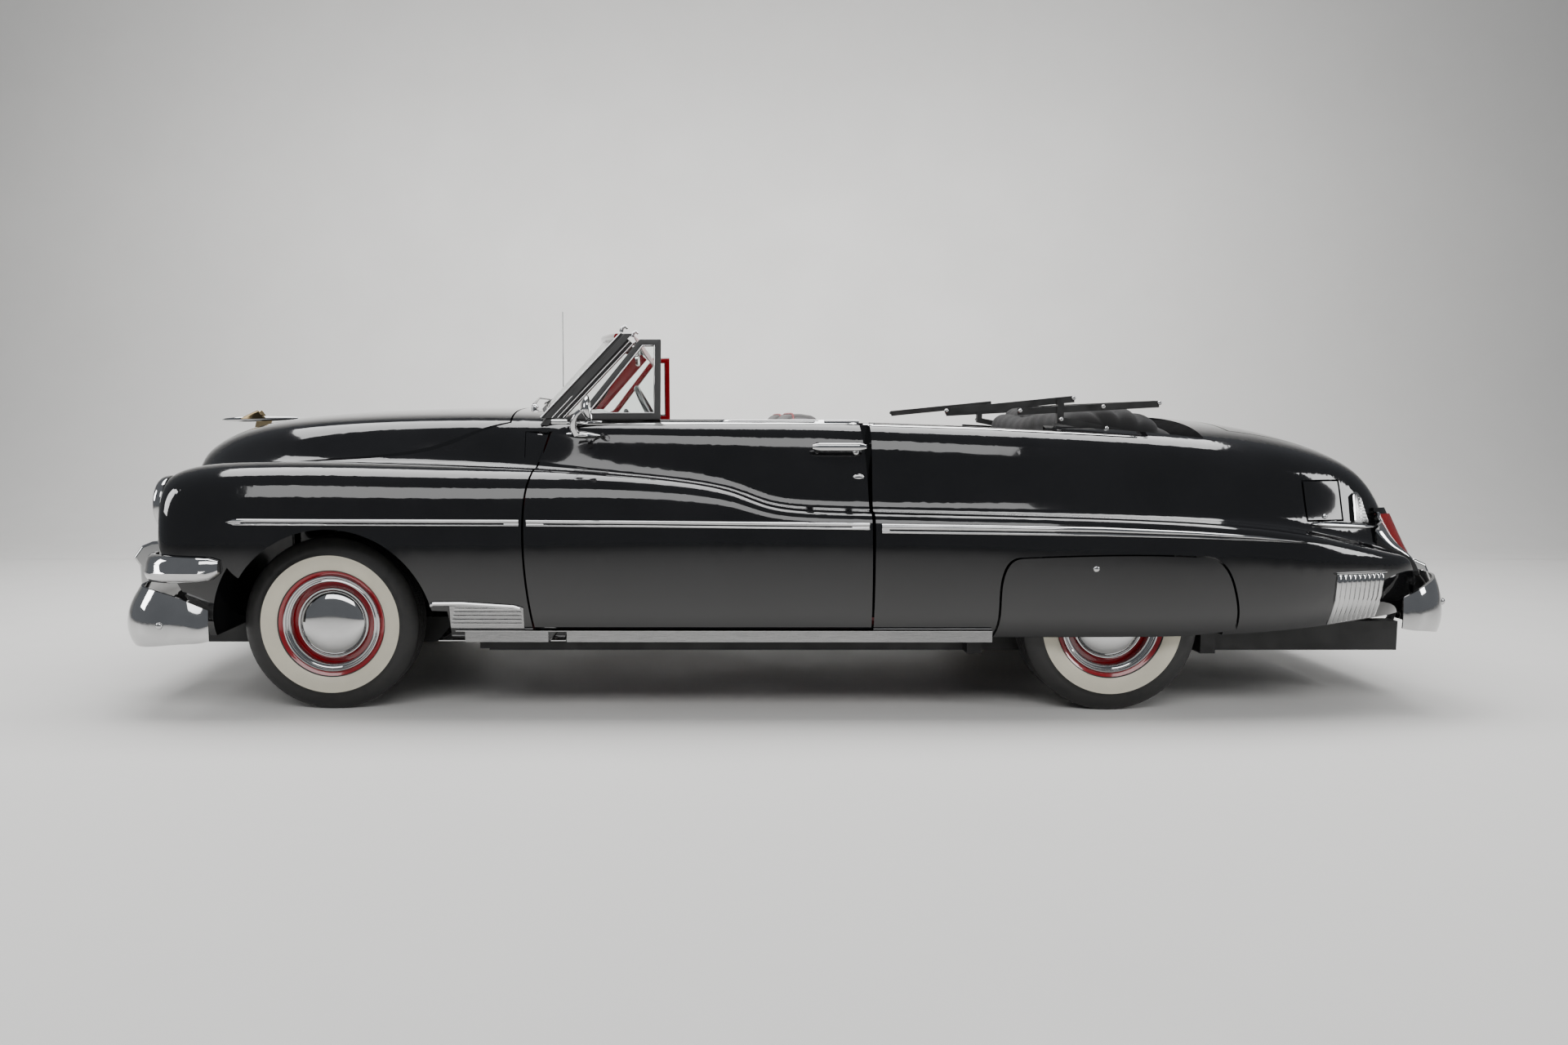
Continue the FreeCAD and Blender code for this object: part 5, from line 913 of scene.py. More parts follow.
    def mirror(self):
        """Round mirror on a swept arm, on the driver's door."""
        across = Vector((0, 1, 0))
        bm = lathe(bmesh.new(), MIRROR_SHELL, MIRROR_CENTRE, MIRROR_AXIS, 40, across)
        tube(bm, MIRROR_ARM, [0.009, 0.01, 0.011, 0.013, 0.016], sides=14)
        foot = []
        for k in range(21):
            share = k / 20
            half = 0.017 * math.sin(math.pi * min(1.0, share * 1.05 + 0.02)) ** 0.6 \
                * (1 - 0.6 * share)
            z = 1.064 - 0.006 * share
            foot.append((-0.842 + 0.15 * share, z - half, z + half))
        ribbon(bm, ray_tree("door_left"), -1, foot, bead(0.015))
        finish_piece(bm, "Mirror_shell", "door_left", angle=50.0, replaces=("door_mirror",))
        disc = ((0.0, 0.0032), (0.0445, 0.0032), (0.0445, 0.004), (0.0, 0.004))
        finish_piece(lathe(bmesh.new(), disc, MIRROR_CENTRE, MIRROR_AXIS, 40, across),
                     "Mirror_glass", "door_left", "mirror", CRISP)


# Lamp profiles: radius, distance ahead of the lamp's middle
LAMP_RIM = ((0.0835, -0.012), (0.112, -0.012), (0.1125, -0.004), (0.1115, 0.006), (0.108, 0.016),
            (0.103, 0.0225), (0.097, 0.0245), (0.0915, 0.0225), (0.0885, 0.018),
            (0.0875, 0.012), (0.0835, 0.01))
REFLECTOR = ((0.0, -0.01), (0.03, -0.0085), (0.06, -0.003), (0.083, 0.006), (0.0838, 0.004),
             (0.06, -0.006), (0.0, -0.0125))
PARKING_BEZEL = ((0.0, -0.004), (0.04, -0.004), (0.04, 0.007), (0.037, 0.01), (0.033, 0.009),
                 (0.031, 0.004), (0.0, 0.004))
PARKING_GLASS = ((0.0, 0.0045), (0.0308, 0.0045), (0.03, 0.009), (0.022, 0.0125),
                 (0.01, 0.0145), (0.0, 0.015))
FLUTE_PITCH, FLUTE_DEPTH = 0.0125, 0.0011
HEADLAMP, PARKING_Y, PARKING_Z = (-2.4, 0.708, 0.79), 0.742, 0.56
POD_LOW, POD_HIGH, POD_DEPTH, POD_BACK = 0.503, 0.612, 0.03, 0.012
# Teeth on the grille's upright bars: low and high end of each row
TEETH_ROWS, CREASE_Z, GRILLE_HALF = ((0.592, 0.668), (0.7, 0.768)), 0.684, 0.565
# Grille pod: its run on the ground plan, and its section as share of height, swell
POD_LINE = ((-2.43, 0.8), (-2.424, 0.85), (-2.405, 0.888), (-2.372, 0.918), (-2.33, 0.94),
            (-2.285, 0.952), (-2.24, 0.96), (-2.195, 0.966), (-2.155, 0.97), (-2.12, 0.971))
POD_SECTION = ((0.0, 0.0), (0.06, 0.45), (0.2, 0.8), (0.38, 1.0), (0.46, 0.82), (0.7, 0.7),
               (0.9, 0.42), (1.0, 0.0))
# Hood dart: place along the car, height, radius
DART = ((-2.478, 1.1185, 0.0015), (-2.462, 1.119, 0.0065), (-2.42, 1.12, 0.01),
        (-2.36, 1.1215, 0.0125), (-2.28, 1.1235, 0.012), (-2.2, 1.125, 0.009),
        (-2.15, 1.1258, 0.0055), (-2.136, 1.1258, 0.002))
SCREEN_FOOT, SCREEN_HEAD = Vector((-0.978, -0.708, 1.1)), Vector((-0.64, -0.585, 1.47))
SCREEN_RISE = 0.37
WIPER_PIVOT, WIPER_POINTS = (-1.018, 0.36, 1.166), (-0.06, 0.02, 0.1, 0.18, 0.26, 0.32)
CABIN_MIRROR, CABIN_MIRROR_HALF = (-0.602, 0, 1.383), (0.105, 0.026)
VISOR_INNER, VISOR_WIDTH, VISOR_DROP = 0.1, 0.42, 0.1
SCREEN_BACK = Vector((0.738, 0, -0.674))


class CAR_OT_front_trim(bpy.types.Operator):
    """Adds lamps, grille teeth, pods, bolts, the hood dart and the screen trim"""
    bl_idname = "car.front_trim"
    bl_label = "Front trim"

    def execute(self, context):
        for word, side in SIDES:
            self.lamps(word, side)
            self.pod(word, side)
        self.grille()
        self.dart()
        self.pillars()
        self.header()
        self.wipers()
        self.cabin_mirror()
        self.visors()
        return {"FINISHED"}

    def lamps(self, word, side):
        centre = Vector(HEADLAMP) * Vector((1, side, 1))
        y = side * PARKING_Y
        low = Vector((-end_hit(ray_tree("grille_surround"), y, PARKING_Z, -1), y, PARKING_Z))
        angles = [math.radians(k * 6) for k in range(16)]
        lens = [(0.0865 * math.sin(a), 0.0095 + 0.0155 * math.cos(a)) for a in angles]
        lens += [(r * 0.97, h - 0.0025) for r, h in reversed(lens)]
        lens[-1] = (0.0, lens[-1][1])
        for part, profile, place, steps, material, angle, node in (
                ("Headlamp_rim_", LAMP_RIM, centre, 72, "chrome", 60.0, "headlamp_rims"),
                ("Headlamp_reflector_", REFLECTOR, centre, 48, "chrome", 60.0, ""),
                ("Headlamp_glass_", lens, centre, 72, "glass", 70.0, "headlamp_lenses"),
                ("Parking_lamp_bezel_", PARKING_BEZEL, low, 40, "chrome", 60.0, ""),
                ("Parking_lamp_glass_", PARKING_GLASS, low, 40, "amber", 60.0, "")):
            bm = lathe(bmesh.new(), profile, place, (-1, 0, 0), steps, (0, 0, 1))
            if material == "glass":
                for vert in bm.verts:
                    wave = math.sin(math.pi * (vert.co.y - centre.y) / FLUTE_PITCH)
                    vert.co.x -= FLUTE_DEPTH * abs(wave)
            finish_piece(bm, part + word, "root", material, angle,
                         (node,) if node and side < 0 else ())

    def pod(self, word, side):
        """Bright cap that carries the grille's lower bar round onto the fender."""
        last = len(POD_LINE) - 1

        def place(i, k):
            (x, y), share = POD_LINE[i], i / last
            ahead, behind = POD_LINE[min(i + 1, last)], POD_LINE[max(i - 1, 0)]
            along = Vector((ahead[0] - behind[0], ahead[1] - behind[1])).normalized()
            out = Vector((-along.y, along.x))
            close = max(0.0, share - 0.86) / 0.14
            low = POD_LOW + 0.012 * share + 0.03 * close
            high = POD_HIGH - 0.004 * share - 0.012 * close
            depth = POD_DEPTH * (1 - 0.75 * close) * (0.55 + 0.45 * min(1.0, 4 * share))
            z, swell = POD_SECTION[k]
            z = low + z * (high - low)
            swell *= depth
            return ((x + out.x * swell - 0.002, side * (y + out.y * swell - 0.016), z),
                    (x - out.x * POD_BACK, side * (y - out.y * POD_BACK - 0.016), z))

        finish_piece(plate(bmesh.new(), last + 1, len(POD_SECTION), place), "Grille_pod_" + word,
                     angle=50.0)
        bumper_bolts("Front_bumper_bolts_" + word, "bumper_front", side, -1, (-2.349, 0.351),
                     -0.25, 0.352)

    def grille(self):
        """Rounded teeth on the upright bars and a crease along the middle one."""
        tree = ray_tree("grille")
        spans = [[]]
        for y in (k * 0.004 for k in range(-145, 146)):
            x = end_hit(tree, y, 0.64, -1, 0.0)
            if x > 2.28:
                spans[-1].append((y, x))
            elif spans[-1]:
                spans.append([])
        bm = bmesh.new()
        for run in spans:
            if run:
                y, x = 0.5 * (run[0][0] + run[-1][0]), -max(p[1] for p in run)
                for low, high in TEETH_ROWS:
                    line = ((0.004, low, 0.006), (-0.006, low + 0.01, 0.0105),
                            (-0.01, 0.5 * (low + high), 0.012),
                            (-0.006, high - 0.01, 0.0105), (0.004, high, 0.006))
                    tube(bm, [(x + dx, y, z) for dx, z, r in line], [r for dx, z, r in line],
                         up=(1, 0, 0))
        finish_piece(bm, "Grille_teeth")
        hits = [(y, end_hit(tree, y, CREASE_Z, -1, 0.0))
                for y in (-GRILLE_HALF + 2 * GRILLE_HALF * k / 60 for k in range(61))]
        finish_piece(tube(bmesh.new(), [(-x - 0.003, y, CREASE_Z) for y, x in hits if x > 2.25],
                          0.0095), "Grille_crease")

    def dart(self):
        """Slim dart with swept side blades on a low pylon."""
        finish_piece(tube(bmesh.new(), [(x, 0, z) for x, z, r in DART], [r for x, z, r in DART],
                          sides=20, flat=0.75), "Dart_body", "hood", angle=70.0,
                     replaces=("hood_ornament",))
        bm = bmesh.new()
        for side in (-1, 1):
            def blade(k, j):
                share, curve = k / 8, 0.0022 * math.sin(math.pi * j / 6)
                lead, trail = -2.4 + 0.085 * share, -2.275 - 0.03 * share
                x, y = lead + (trail - lead) * j / 6, side * (0.006 + 0.02 * share)
                z = 1.118 + 0.04 * share ** 0.8
                return (x, y, z + curve), (x, y, z - 0.0022 - curve)

            plate(bm, 9, 7, blade)
        tree = ray_tree("hood")

        def pylon(k, j):
            x = -2.335 + 0.07 * k / 8
            below = tree.ray_cast(Vector((x, 0.0, 1.3)), Vector((0, 0, -1)))[0]
            z, half = (1.117, 0.004) if j else ((below.z if below else 1.08) - 0.002, 0.007)
            return (x + 0.012 * j, -half, z), (x + 0.012 * j, half, z)

        plate(bm, 9, 2, pylon)
        finish_piece(bm, "Dart_blades", "hood", "brass", 40.0)

    def pillars(self):
        """Black covers on the screen pillars, their red lining and bright beads."""
        foot, head = SCREEN_FOOT, SCREEN_HEAD
        bm = bmesh.new()
        for side in (-1, 1):
            flip = Vector((1, -side, 1))
            for far, radius in ((0.004, 0.004), (0.036, 0.003), (0.052, 0.003),
                                (0.068, 0.0035)):
                shift = SCREEN_BACK * far + Vector((0, -0.011, 0))
                start = (0.026 + 0.674 * far) / SCREEN_RISE
                tube(bm, [(foot + shift + (head - foot) * start) * flip,
                          (head + shift - (head - foot) * 0.02) * flip], radius, sides=8)
        finish_piece(bm, "Screen_pillar_beads")
        for word, side in SIDES:
            for part, out, thick, material in (("Screen_pillar_", 0.0, 0.013, "rubber"),
                                               ("Screen_lining_", -0.003, -0.01, "wheel_red")):
                def cover(k, j):
                    share = k / 8
                    start = (0.024 + 0.0485 * share) / SCREEN_RISE
                    swell = (1 - (2 * share - 1) ** 6) * thick
                    place = foot + (head - foot) * (start + (0.985 - start) * j / 24) \
                        + SCREEN_BACK * 0.072 * share
                    return [(place.x, side * (-place.y + push), place.z)
                            for push in (out + swell, out)]

                finish_piece(plate(bmesh.new(), 9, 25, cover), part + word, "root", material)

    def on_glass(self, tree, y, z, lift):
        """Place at a height over the screen, square off its glass."""
        place = tree.ray_cast(Vector((-3.0, y, z)), Vector((1, 0, 0)))[0]
        return Vector((place.x if place else -0.9, y, z)) + Vector((-0.74, 0, 0.67)) * lift

    def header(self):
        tree = ray_tree("windshield_glass", "windshield_frame")
        line = [self.on_glass(tree, -0.56 + 1.12 * k / 28,
                              1.462 - 0.016 * (k / 14 - 1) ** 2, 0.004) for k in range(29)]
        finish_piece(tube(bmesh.new(), line, 0.013, sides=14), "Screen_header_bead")
        bm = bmesh.new()
        for side in (-1, 1):
            for x, y in ((-0.632, 0.56), (-0.604, 0.28)):
                top = Vector((x - 0.012, side * y, 1.468))
                tube(bm, [top + Vector((dx, 0, dz)) for dx, dz in (
                    (0, 0), (0.004, 0.014), (0.016, 0.022), (0.026, 0.012))],
                     [0.009, 0.008, 0.007, 0.005], sides=10, up=(0, 1, 0))
        finish_piece(bm, "Header_hooks")

    def wipers(self):
        tree = ray_tree("windshield_glass", "windshield_frame")
        bm, blade = bmesh.new(), bmesh.new()
        for side in (-1, 1):
            pivot = Vector(WIPER_PIVOT) * Vector((1, side, 1))
            dome(bm, pivot, (-0.5, 0, 1), 0.016, 0.02)
            tip = self.on_glass(tree, side * 0.1, 1.2, 0.012)
            start = pivot + Vector((-0.006, 0, 0.016))
            tube(bm, [start, (start + tip) * 0.5 + Vector((-0.012, 0, 0.016)), tip],
                 [0.006, 0.0045, 0.003], sides=10)
            run = [self.on_glass(tree, side * y, 1.178 + 0.03 * (0.34 - y) / 0.34, 0.006)
                   for y in WIPER_POINTS]
            tube(blade, run, [0.002, 0.0045, 0.005, 0.0045, 0.004, 0.002], sides=8)
        finish_piece(bm, "Wiper_arms")
        finish_piece(blade, "Wiper_blades", "root", "rubber", slot="wheel_plastic")

    def cabin_mirror(self):
        bm = tube(bmesh.new(), [(-0.622, 0, 1.462), (-0.604, 0, 1.43), (-0.6, 0, 1.405)],
                  [0.01, 0.007, 0.006], sides=10)

        def oval(k, j):
            angle = math.tau * (k % 32) / 32
            (x, _, z), (wide, high) = CABIN_MIRROR, CABIN_MIRROR_HALF
            y, rise = wide * math.cos(angle) * j, high * math.sin(angle) * j
            return (x, y, z + rise), (x - (0.012 if j else 0.016), y * 0.96, z + rise * 0.9)

        finish_piece(plate(bm, 33, 2, oval), "Cabin_mirror", angle=50.0)

    def visors(self):
        for word, side in SIDES:
            def place(i, k):
                share, y = k / 8, side * (VISOR_INNER + VISOR_WIDTH * i / 12)
                x, z = -0.6 + 0.062 * share, 1.462 - VISOR_DROP * share
                soft = 0.01 * (math.sin(math.pi * share) * math.sin(math.pi * i / 12)) ** 0.35 \
                    if 0 < k < 8 and 0 < i < 12 else 0.0
                return ((x + soft * 0.85, y, z + soft * 0.5), (x - soft * 0.85, y, z - soft * 0.5))

            finish_piece(plate(bmesh.new(), 13, 9, place), "Sun_visor_" + word, "root", "visor",
                         80.0, fill=0.8)


# Tail lamp sections: share of the width, height
TAIL_BEZEL = ((0.0, 0.0), (0.04, 0.009), (0.12, 0.012), (0.2, 0.009), (0.24, 0.004),
              (0.76, 0.004), (0.8, 0.009), (0.88, 0.012), (0.96, 0.009), (1.0, 0.0))
TAIL_GLASS = ((0.0, 0.0), (0.05, 0.006), (0.25, 0.01), (0.5, 0.012), (0.75, 0.01),
              (0.95, 0.006), (1.0, 0.0))
TAIL_LAMP_Y, TAIL_LAMP_Z, TAIL_LAMP_HEIGHT, GLASS_MARGIN = (0.636, 0.722), 0.528, 0.232, 0.22
LID_HANDLE = ((0.0, 0.0), (0.03, 0.012), (0.5, 0.02), (0.97, 0.012), (1.0, 0.0))


class CAR_OT_rear_trim(bpy.types.Operator):
    """Adds the tail lamps, bumper bolts and lid handle"""
    bl_idname = "car.rear_trim"
    bl_label = "Rear trim"

    def execute(self, context):
        tree = ray_tree("tail_lamps")
        for word, side in SIDES:
            inner, outer = (side * y for y in TAIL_LAMP_Y)
            margin = (outer - inner) * GLASS_MARGIN
            heights = [TAIL_LAMP_Z + TAIL_LAMP_HEIGHT * k / 24 for k in range(25)]
            bezel = [(z, inner, outer) for z in heights]
            glass = [(z, inner + margin, outer - margin) for z in heights[1:-1]]
            for part, runs, section, material in (
                    ("Tail_lamp_bezel_", bezel, TAIL_BEZEL, "chrome"),
                    ("Tail_lamp_glass_", glass, TAIL_GLASS, "lamp_red")):
                finish_piece(ribbon(bmesh.new(), tree, 1, runs, section, end=True), part + word,
                             "root", material)
            bumper_bolts("Rear_bumper_bolts_" + word, "bumper_rear", side, 1, (2.532, 0.42),
                         0.4, 0.4)
        tree = ray_tree("trunk_lid")
        bm = ribbon(bmesh.new(), tree, 1, [(0.7 + 0.004 * k, -0.085, 0.085) for k in range(9)],
                    LID_HANDLE, end=True)
        dome(bm, (end_hit(tree, 0.0, 0.665, 1), 0.0, 0.665), (1, 0, 0), 0.013, 0.008)
        finish_piece(bm, "Trunk_handle", "trunk_lid")
        return {"FINISHED"}


WHEEL_CENTRE, WHEEL_AXIS = Vector((-0.489, -0.35, 1.054)), Vector((0.8805, 0, 0.4741))
DASH_SECTION = ((-0.995, 1.071), (-0.86, 1.0725), (-0.79, 1.0715), (-0.75, 1.066),
                (-0.726, 1.052), (-0.714, 1.03), (-0.711, 1.005), (-0.713, 0.96),
                (-0.722, 0.92), (-0.74, 0.895), (-0.77, 0.883), (-0.8, 0.881),
                (-0.995, 0.881))
DASH_HALF, DASH_TAPER, DIAL_Z = 0.69, 0.115, 0.981
TRIM_Z, TRIM_RADIUS = (0.922, 1.04), 0.0045
HORN_RADIUS, PEDALS = 0.128, ((-0.52, 0.04), (-0.38, 0.04), (-0.235, 0.03))
# Dials: place across the dash, radius
DIALS = ((-0.35, 0.05), (-0.47, 0.034), (-0.23, 0.034), (0.455, 0.034))
DASH_KNOBS = ((-0.09, 0.934), (0.0, 0.934), (0.09, 0.934), (-0.6, 0.95), (-0.6, 1.005),
              (0.355, 0.935))


class CAR_OT_cabin(bpy.types.Operator):
    """Upholsters the seats and fits the dash, controls and pedals"""
    bl_idname = "car.cabin"
    bl_label = "Cabin"

    def execute(self, context):
        flat = Vector((1, 0, -0.05)), Vector((0.05, 0, 1))
        upright = Vector((0.075, 0, 1.0)), Vector((-1, 0, 0.075))
        for name, centre, half, turn, pitch, nodes in (
                ("Front_cushion", (-0.262, 0, 0.53), (0.688, 0.222, 0.08), flat, 0.078,
                 ("front_seat",)),
                ("Rear_cushion", (0.635, 0, 0.53), (0.556, 0.212, 0.08), flat, 0.074,
                 ("rear_seat",)),
                ("Front_back_left", (0.058, -0.345, 0.873), (0.339, 0.27, 0.084), upright,
                 0.075, ()),
                ("Front_back_right", (0.058, 0.345, 0.873), (0.339, 0.27, 0.084), upright,
                 0.075, ()),
                ("Rear_back", (0.912, 0, 0.79), (0.556, 0.2, 0.062), upright, 0.074, ())):
            self.bench(name, Vector(centre), half, *turn, pitch, nodes)
        self.dash()
        self.dials()
        self.controls()
        return {"FINISHED"}

    def bench(self, name, centre, half, up, face, pitch, nodes):
        """Dark leather shell, red pleated insert and red piping."""
        wide, deep, thick = half
        out = face.normalized()
        finish_piece(pillow(centre, half, up, face, 0.006), name + "_shell", "root",
                     "leather_dark", 80.0, nodes, fill=0.8)
        finish_piece(pillow(centre + out * (thick - 0.01), (wide - 0.062, deep - 0.055, 0.02),
                            up, face, 0.01, pitch, 0.012, 220, 28), name + "_pleats", "root",
                     "leather_red", 80.0, fill=0.7)
        finish_piece(piping(centre + out * thick * 0.45, (wide - 0.002, deep - 0.002), up),
                     name + "_piping", "root", "leather_red", 80.0)

    def dash(self):
        bm = bmesh.new()
        face = bm.faces.new([bm.verts.new((x, -DASH_HALF - (x + 0.995) * DASH_TAPER, z))
                             for x, z in DASH_SECTION])
        for vert in extruded(bm, [face]):
            vert.co.y = -vert.co.y
        finish_piece(bm, "Dash_panel", "root", "dash_red", CRISP, ("dashboard",))

    def dials(self):
        """Bright frames, bars and knobs on the dash, with round dials and their ticks."""
        chrome, dark, pale = bmesh.new(), bmesh.new(), bmesh.new()
        axis, arm = Vector((1, 0, 0)), Vector((0, 0, 1))
        bars = []
        for low, high in ((-0.545, -0.155), (-0.125, 0.125), (0.165, 0.545)):
            bars += [((-0.7135, low, z), (-0.7115, (low + high) / 2, z), (-0.7135, high, z))
                     for z in TRIM_Z]
            bars += [((-0.7135, y, TRIM_Z[0]), (-0.7095, y, 0.98), (-0.7135, y, TRIM_Z[1]))
                     for y in (low, high)]
        for bar in bars:
            tube(chrome, bar, TRIM_RADIUS, sides=8)
        for y, radius in DIALS:
            place = Vector((-0.7115, y, DIAL_Z))
            lathe(chrome, ((radius, -0.004), (radius + 0.007, -0.004), (radius + 0.007, 0.005),
                           (radius + 0.003, 0.009), (radius, 0.006)), place, axis, 48, arm)
            lathe(dark, ((0.0, -0.003), (radius, -0.003), (radius, 0.003), (0.0, 0.003)), place,
                  axis, 48, arm)
            for k in range(11):
                angle = math.radians(-130 + 26 * k)
                out = Vector((0, math.sin(angle), math.cos(angle))) * radius
                start = place + axis * 0.0036 + out * 0.76
                tube(pale, [start, start + out * 0.16], 0.0011, sides=6, up=(1, 0, 0))
            hub = place + axis * 0.0045
            tube(pale, [hub, hub + Vector((0, -0.55, 0.62)) * radius], [0.0018, 0.0006], sides=6,
                 up=(1, 0, 0))
            dome(chrome, place + axis * 0.004, axis, radius * 0.1, 0.003, steps=16, foot=0.001)
        for y in (-0.105 + 0.015 * k for k in range(15)):
            tube(chrome, [(-0.7125, y, 0.95), (-0.709, y, 0.985), (-0.7125, y, 1.03)], 0.0032,
                 sides=8)
        for y, z in DASH_KNOBS:
            dome(chrome, (-0.712, y, z), axis, 0.0105, 0.016, steps=20)
        finish_piece(chrome, "Dash_brightwork")
        finish_piece(dark, "Dash_dials", "root", "black_plastic", CRISP)
        finish_piece(pale, "Dash_ticks", "root", "ivory", CRISP)

    def controls(self):
        """Horn ring, column levers and pedals."""
        centre, axis = WHEEL_CENTRE, WHEEL_AXIS
        across, rise = Vector((0, 1, 0)), Vector((-0.4741, 0, 0.8805))
        angles = [math.radians(180 + 180 * k / 32) for k in range(33)]
        arc = [centre + axis * 0.016 + across * (HORN_RADIUS * math.cos(a))
               + rise * (HORN_RADIUS * math.sin(a)) for a in angles]
        ends = [centre + axis * 0.02 + across * y for y in (-0.03, 0.03)]
        bm = tube(bmesh.new(), ends[:1] + arc + ends[1:], 0.0042, sides=10, up=axis)
        dome(bm, centre + axis * 0.029, axis, 0.036, 0.014, steps=36)
        finish_piece(bm, "Horn_ring", "steering_wheel")
        bm, knobs = bmesh.new(), bmesh.new()
        root = centre - axis * 0.115
        for side, reach, rear, lift in ((1, 0.18, 0.02, 0.16), (-1, 0.12, 0.03, 0.02)):
            base = root + across * side * 0.02
            tip = root + across * side * reach + axis * rear + rise * lift
            tube(bm, [base, (base + tip) * 0.5 + axis * 0.006, tip], [0.007, 0.0052, 0.0042])
            dome(knobs, tip, tip - base, 0.0115, 0.02)
        finish_piece(bm, "Column_levers")
        for y, size in PEDALS:
            def pad(i, k):
                u, v = i / 3 - 1, k / 3 - 1
                soft = 0.004 * (1 - u * u) * (1 - v * v)
                x, z = -0.905 - 0.02 * v, 0.455 + 0.046 * v
                return ((x + 0.01 + soft, y + size * u * (1 - 0.05 * v * v), z + 0.004),
                        (x, y + size * u, z))

            plate(knobs, 7, 7, pad)
            tube(knobs, [(-0.912, y, 0.45), (-0.96, y, 0.425)], 0.009, sides=8)
        finish_piece(knobs, "Pedals_and_knobs", "root", "rubber", CRISP, slot="wheel_plastic")


# Section of the folded stack: place along the car, height
STACK = ((1.082, 0.825), (1.078, 0.93), (1.086, 1.05), (1.12, 1.128), (1.165, 1.166),
         (1.235, 1.184), (1.325, 1.186), (1.415, 1.165), (1.5, 1.12), (1.575, 1.058),
         (1.612, 0.985), (1.622, 0.9), (1.618, 0.825))
STACK_MIDDLE, STACK_HALF, STACK_STEPS, FOLD_PITCH = Vector((1.34, 0.985)), 0.636, 140, 0.112
RIVETS = ((0.64, 1.153, 0.656), (1.138, 1.203, 0.656), (0.925, 1.153, 0.672),
          (1.47, 1.184, 0.672), (1.082, 1.12, 0.688), (1.424, 1.053, 0.688),
          (1.25, 1.169, 0.672), (1.26, 1.085, 0.688))


class CAR_OT_folded_top(bpy.types.Operator):
    """Folds the cloth top into its well and rivets the irons"""
    bl_idname = "car.folded_top"
    bl_label = "Folded top"

    def execute(self, context):
        fold = context.scene.car_sizes.fold_height
        loop = [Vector(p) for p in STACK]
        for _ in range(3):
            loop = [q for a, b in zip(loop, loop[1:] + loop[:1])
                    for q in (a * 0.75 + b * 0.25, a * 0.25 + b * 0.75)]
        bm, count, lengths = bmesh.new(), len(loop), [0.0]
        for a, b in zip(loop, loop[1:]):
            lengths.append(lengths[-1] + (b - a).length)
        made = bmesh.ops.create_uvsphere(bm, u_segments=count, v_segments=STACK_STEPS,
                                         radius=1.0)["verts"]
        for vert in made:
            t, shrink, angle = ball_place(vert, STACK_STEPS, 9)
            k = round(angle / math.tau * count) % count
            run, arm = lengths[k], loop[k] - STACK_MIDDLE
            high = max(0.0, min(1.0, (loop[k].y - 1.0) / 0.06))
            phase = run / FOLD_PITCH + 0.3 * math.sin(2.1 * t + 1.0) + 0.06 * math.sin(7 * t)
            crease = abs(math.sin(math.pi * phase)) ** 0.6
            slack = 0.003 * math.sin(9 * t + 14 * run) + 0.0012 * math.sin(37 * t - 9 * run)
            reach = 1 + ((crease - 1) * fold * high + slack * high) / arm.length
            spot = STACK_MIDDLE + arm * (reach * shrink)
            vert.co = (spot.x, STACK_HALF * t, spot.y - 0.006 * (1 - t * t) * high)
        finish_piece(bm, "Folded_cloth_top", "root", "top_cloth", 80.0, ("folded_top",), fill=0.3)
        bm = bmesh.new()
        for side in (-1, 1):
            for x, z, y in RIVETS:
                dome(bm, (x, side * y, z), (0, side, 0), 0.0085, 0.005, steps=16)
        finish_piece(bm, "Top_rivets")
        return {"FINISHED"}


LENS, LENS_SHIFT, CAMERA_TILT = 26.42, 0.0547, math.radians(84.9)
SWEEP_START, SWEEP_RADIUS, SWEEP_TOP = 4.5, 2.5, 8.0
# Area lights: name, place, turn in degrees, size, power
LIGHTS = (("Overhead", (0.0, 0.3, 4.6), (0, 0, 0), (8.5, 2.6), 520.0),
          ("Backdrop", (0.0, 2.6, 4.4), (52, 0, 0), (11.0, 1.2), 380.0),
          ("Camera side", (-1.0, -6.2, 5.6), (46, 0, -4), (9.0, 2.6), 300.0),
          ("Tail side", (6.5, -3.0, 2.6), (72, 0, 65), (1.2, 2.2), 90.0),
          ("Nose side", (-6.8, -1.5, 2.6), (72, 0, -78), (1.2, 2.2), 90.0))


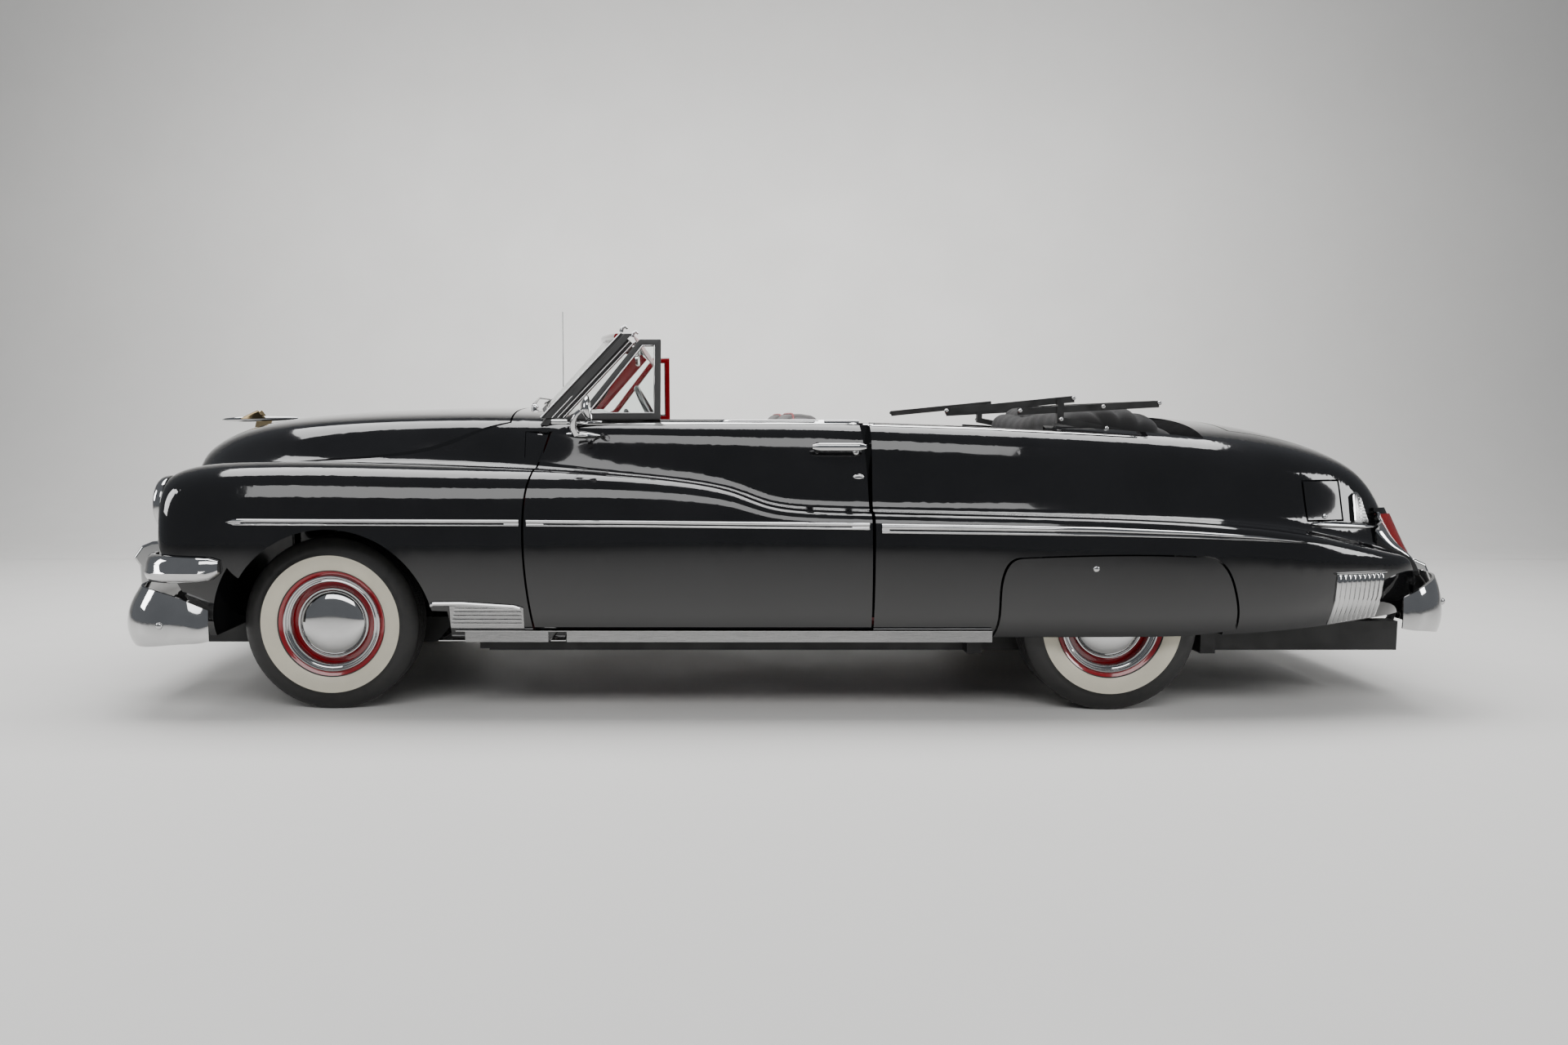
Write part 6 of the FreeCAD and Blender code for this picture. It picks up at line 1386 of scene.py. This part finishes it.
class CAR_OT_studio(bpy.types.Operator):
    """Builds the pale floor and backdrop, the soft lights and the camera"""
    bl_idname = "car.studio"
    bl_label = "Studio and camera"

    def execute(self, context):
        scene, sizes = context.scene, context.scene.car_sizes
        view = bpy.data.cameras.new("Photo camera")
        view.sensor_width, view.lens, view.shift_x = 36.0, LENS, LENS_SHIFT
        scene.camera = self.hang("Photo camera", view, (
            sizes.camera_along, -sizes.camera_distance, sizes.camera_height), (CAMERA_TILT, 0, 0))
        self.sheet("Studio_floor", [(-14.0, 0.0), (14.0, 0.0)], (-14.0, 14.0))
        bend = [(SWEEP_START + SWEEP_RADIUS * math.sin(a), 0.001 + SWEEP_RADIUS * (1 - math.cos(a)))
                for a in (math.radians(k * 9) for k in range(11))]
        self.sheet("Studio_backdrop", [(4.0, 0.001)] + bend
                   + [(SWEEP_START + SWEEP_RADIUS, SWEEP_TOP)], (-16.0, 16.0))
        scene.world = bpy.data.worlds.new("Studio")
        scene.world.use_nodes = True
        sky = scene.world.node_tree.nodes["Background"].inputs
        sky["Color"].default_value = (0.78, 0.82, 0.88, 1)
        sky["Strength"].default_value = 0.22
        for word, place, turn, size, power in LIGHTS:
            light = bpy.data.lights.new(word, "AREA")
            light.shape, light.energy = "RECTANGLE", power
            light.size, light.size_y = size
            self.hang(word, light, place, [math.radians(a) for a in turn])
        return {"FINISHED"}

    def hang(self, name, data, place, turn):
        item = bpy.data.objects.new(name, data)
        item.location, item.rotation_euler = place, Euler(turn)
        bpy.context.scene.collection.objects.link(item)
        return item

    def sheet(self, name, path, span):
        """One-sided studio surface drawn through (y, z) points."""
        mesh, bm, last = bpy.data.meshes.new(name), bmesh.new(), len(path) - 1
        grid = bmesh.ops.create_grid(bm, x_segments=1, y_segments=last, size=1.0)["verts"]
        for vert in grid:
            y, z = path[round((vert.co.y + 1) * last / 2)]
            vert.co = (span[vert.co.x > 0], y, z)
        for face in bm.faces:
            face.smooth = True
        bm.to_mesh(mesh)
        bm.free()
        mesh.materials.append(MATERIALS["floor"])
        self.hang(name, mesh, (0, 0, 0), (0, 0, 0))


class CAR_PT_panel(bpy.types.Panel):
    """Lists the steps of the car"""
    bl_label = "Touring Car"
    bl_idname = "CAR_PT_panel"
    bl_space_type = "VIEW_3D"
    bl_region_type = "UI"
    bl_category = "Touring Car"

    def draw(self, context):
        for operator in OPERATORS:
            self.layout.operator(operator.bl_idname)


OPERATORS = (CAR_OT_finish_nodes, CAR_OT_tyres, CAR_OT_wheels, CAR_OT_body_fill, CAR_OT_side_trim,
             CAR_OT_door_fittings, CAR_OT_front_trim, CAR_OT_rear_trim, CAR_OT_cabin,
             CAR_OT_folded_top, CAR_OT_studio)
CLASSES = (CarFinish, CarSizes) + OPERATORS + (CAR_PT_panel,)


def register():
    for item in CLASSES:
        bpy.utils.register_class(item)
    bpy.types.Scene.car_finish = bpy.props.PointerProperty(type=CarFinish)
    bpy.types.Scene.car_sizes = bpy.props.PointerProperty(type=CarSizes)


def unregister():
    del bpy.types.Scene.car_finish
    del bpy.types.Scene.car_sizes
    for item in reversed(CLASSES):
        bpy.utils.unregister_class(item)


def main():
    register()
    for operator in OPERATORS:
        group, word = operator.bl_idname.split(".")
        getattr(getattr(bpy.ops, group), word)()


if __name__ == "__main__":
    main()
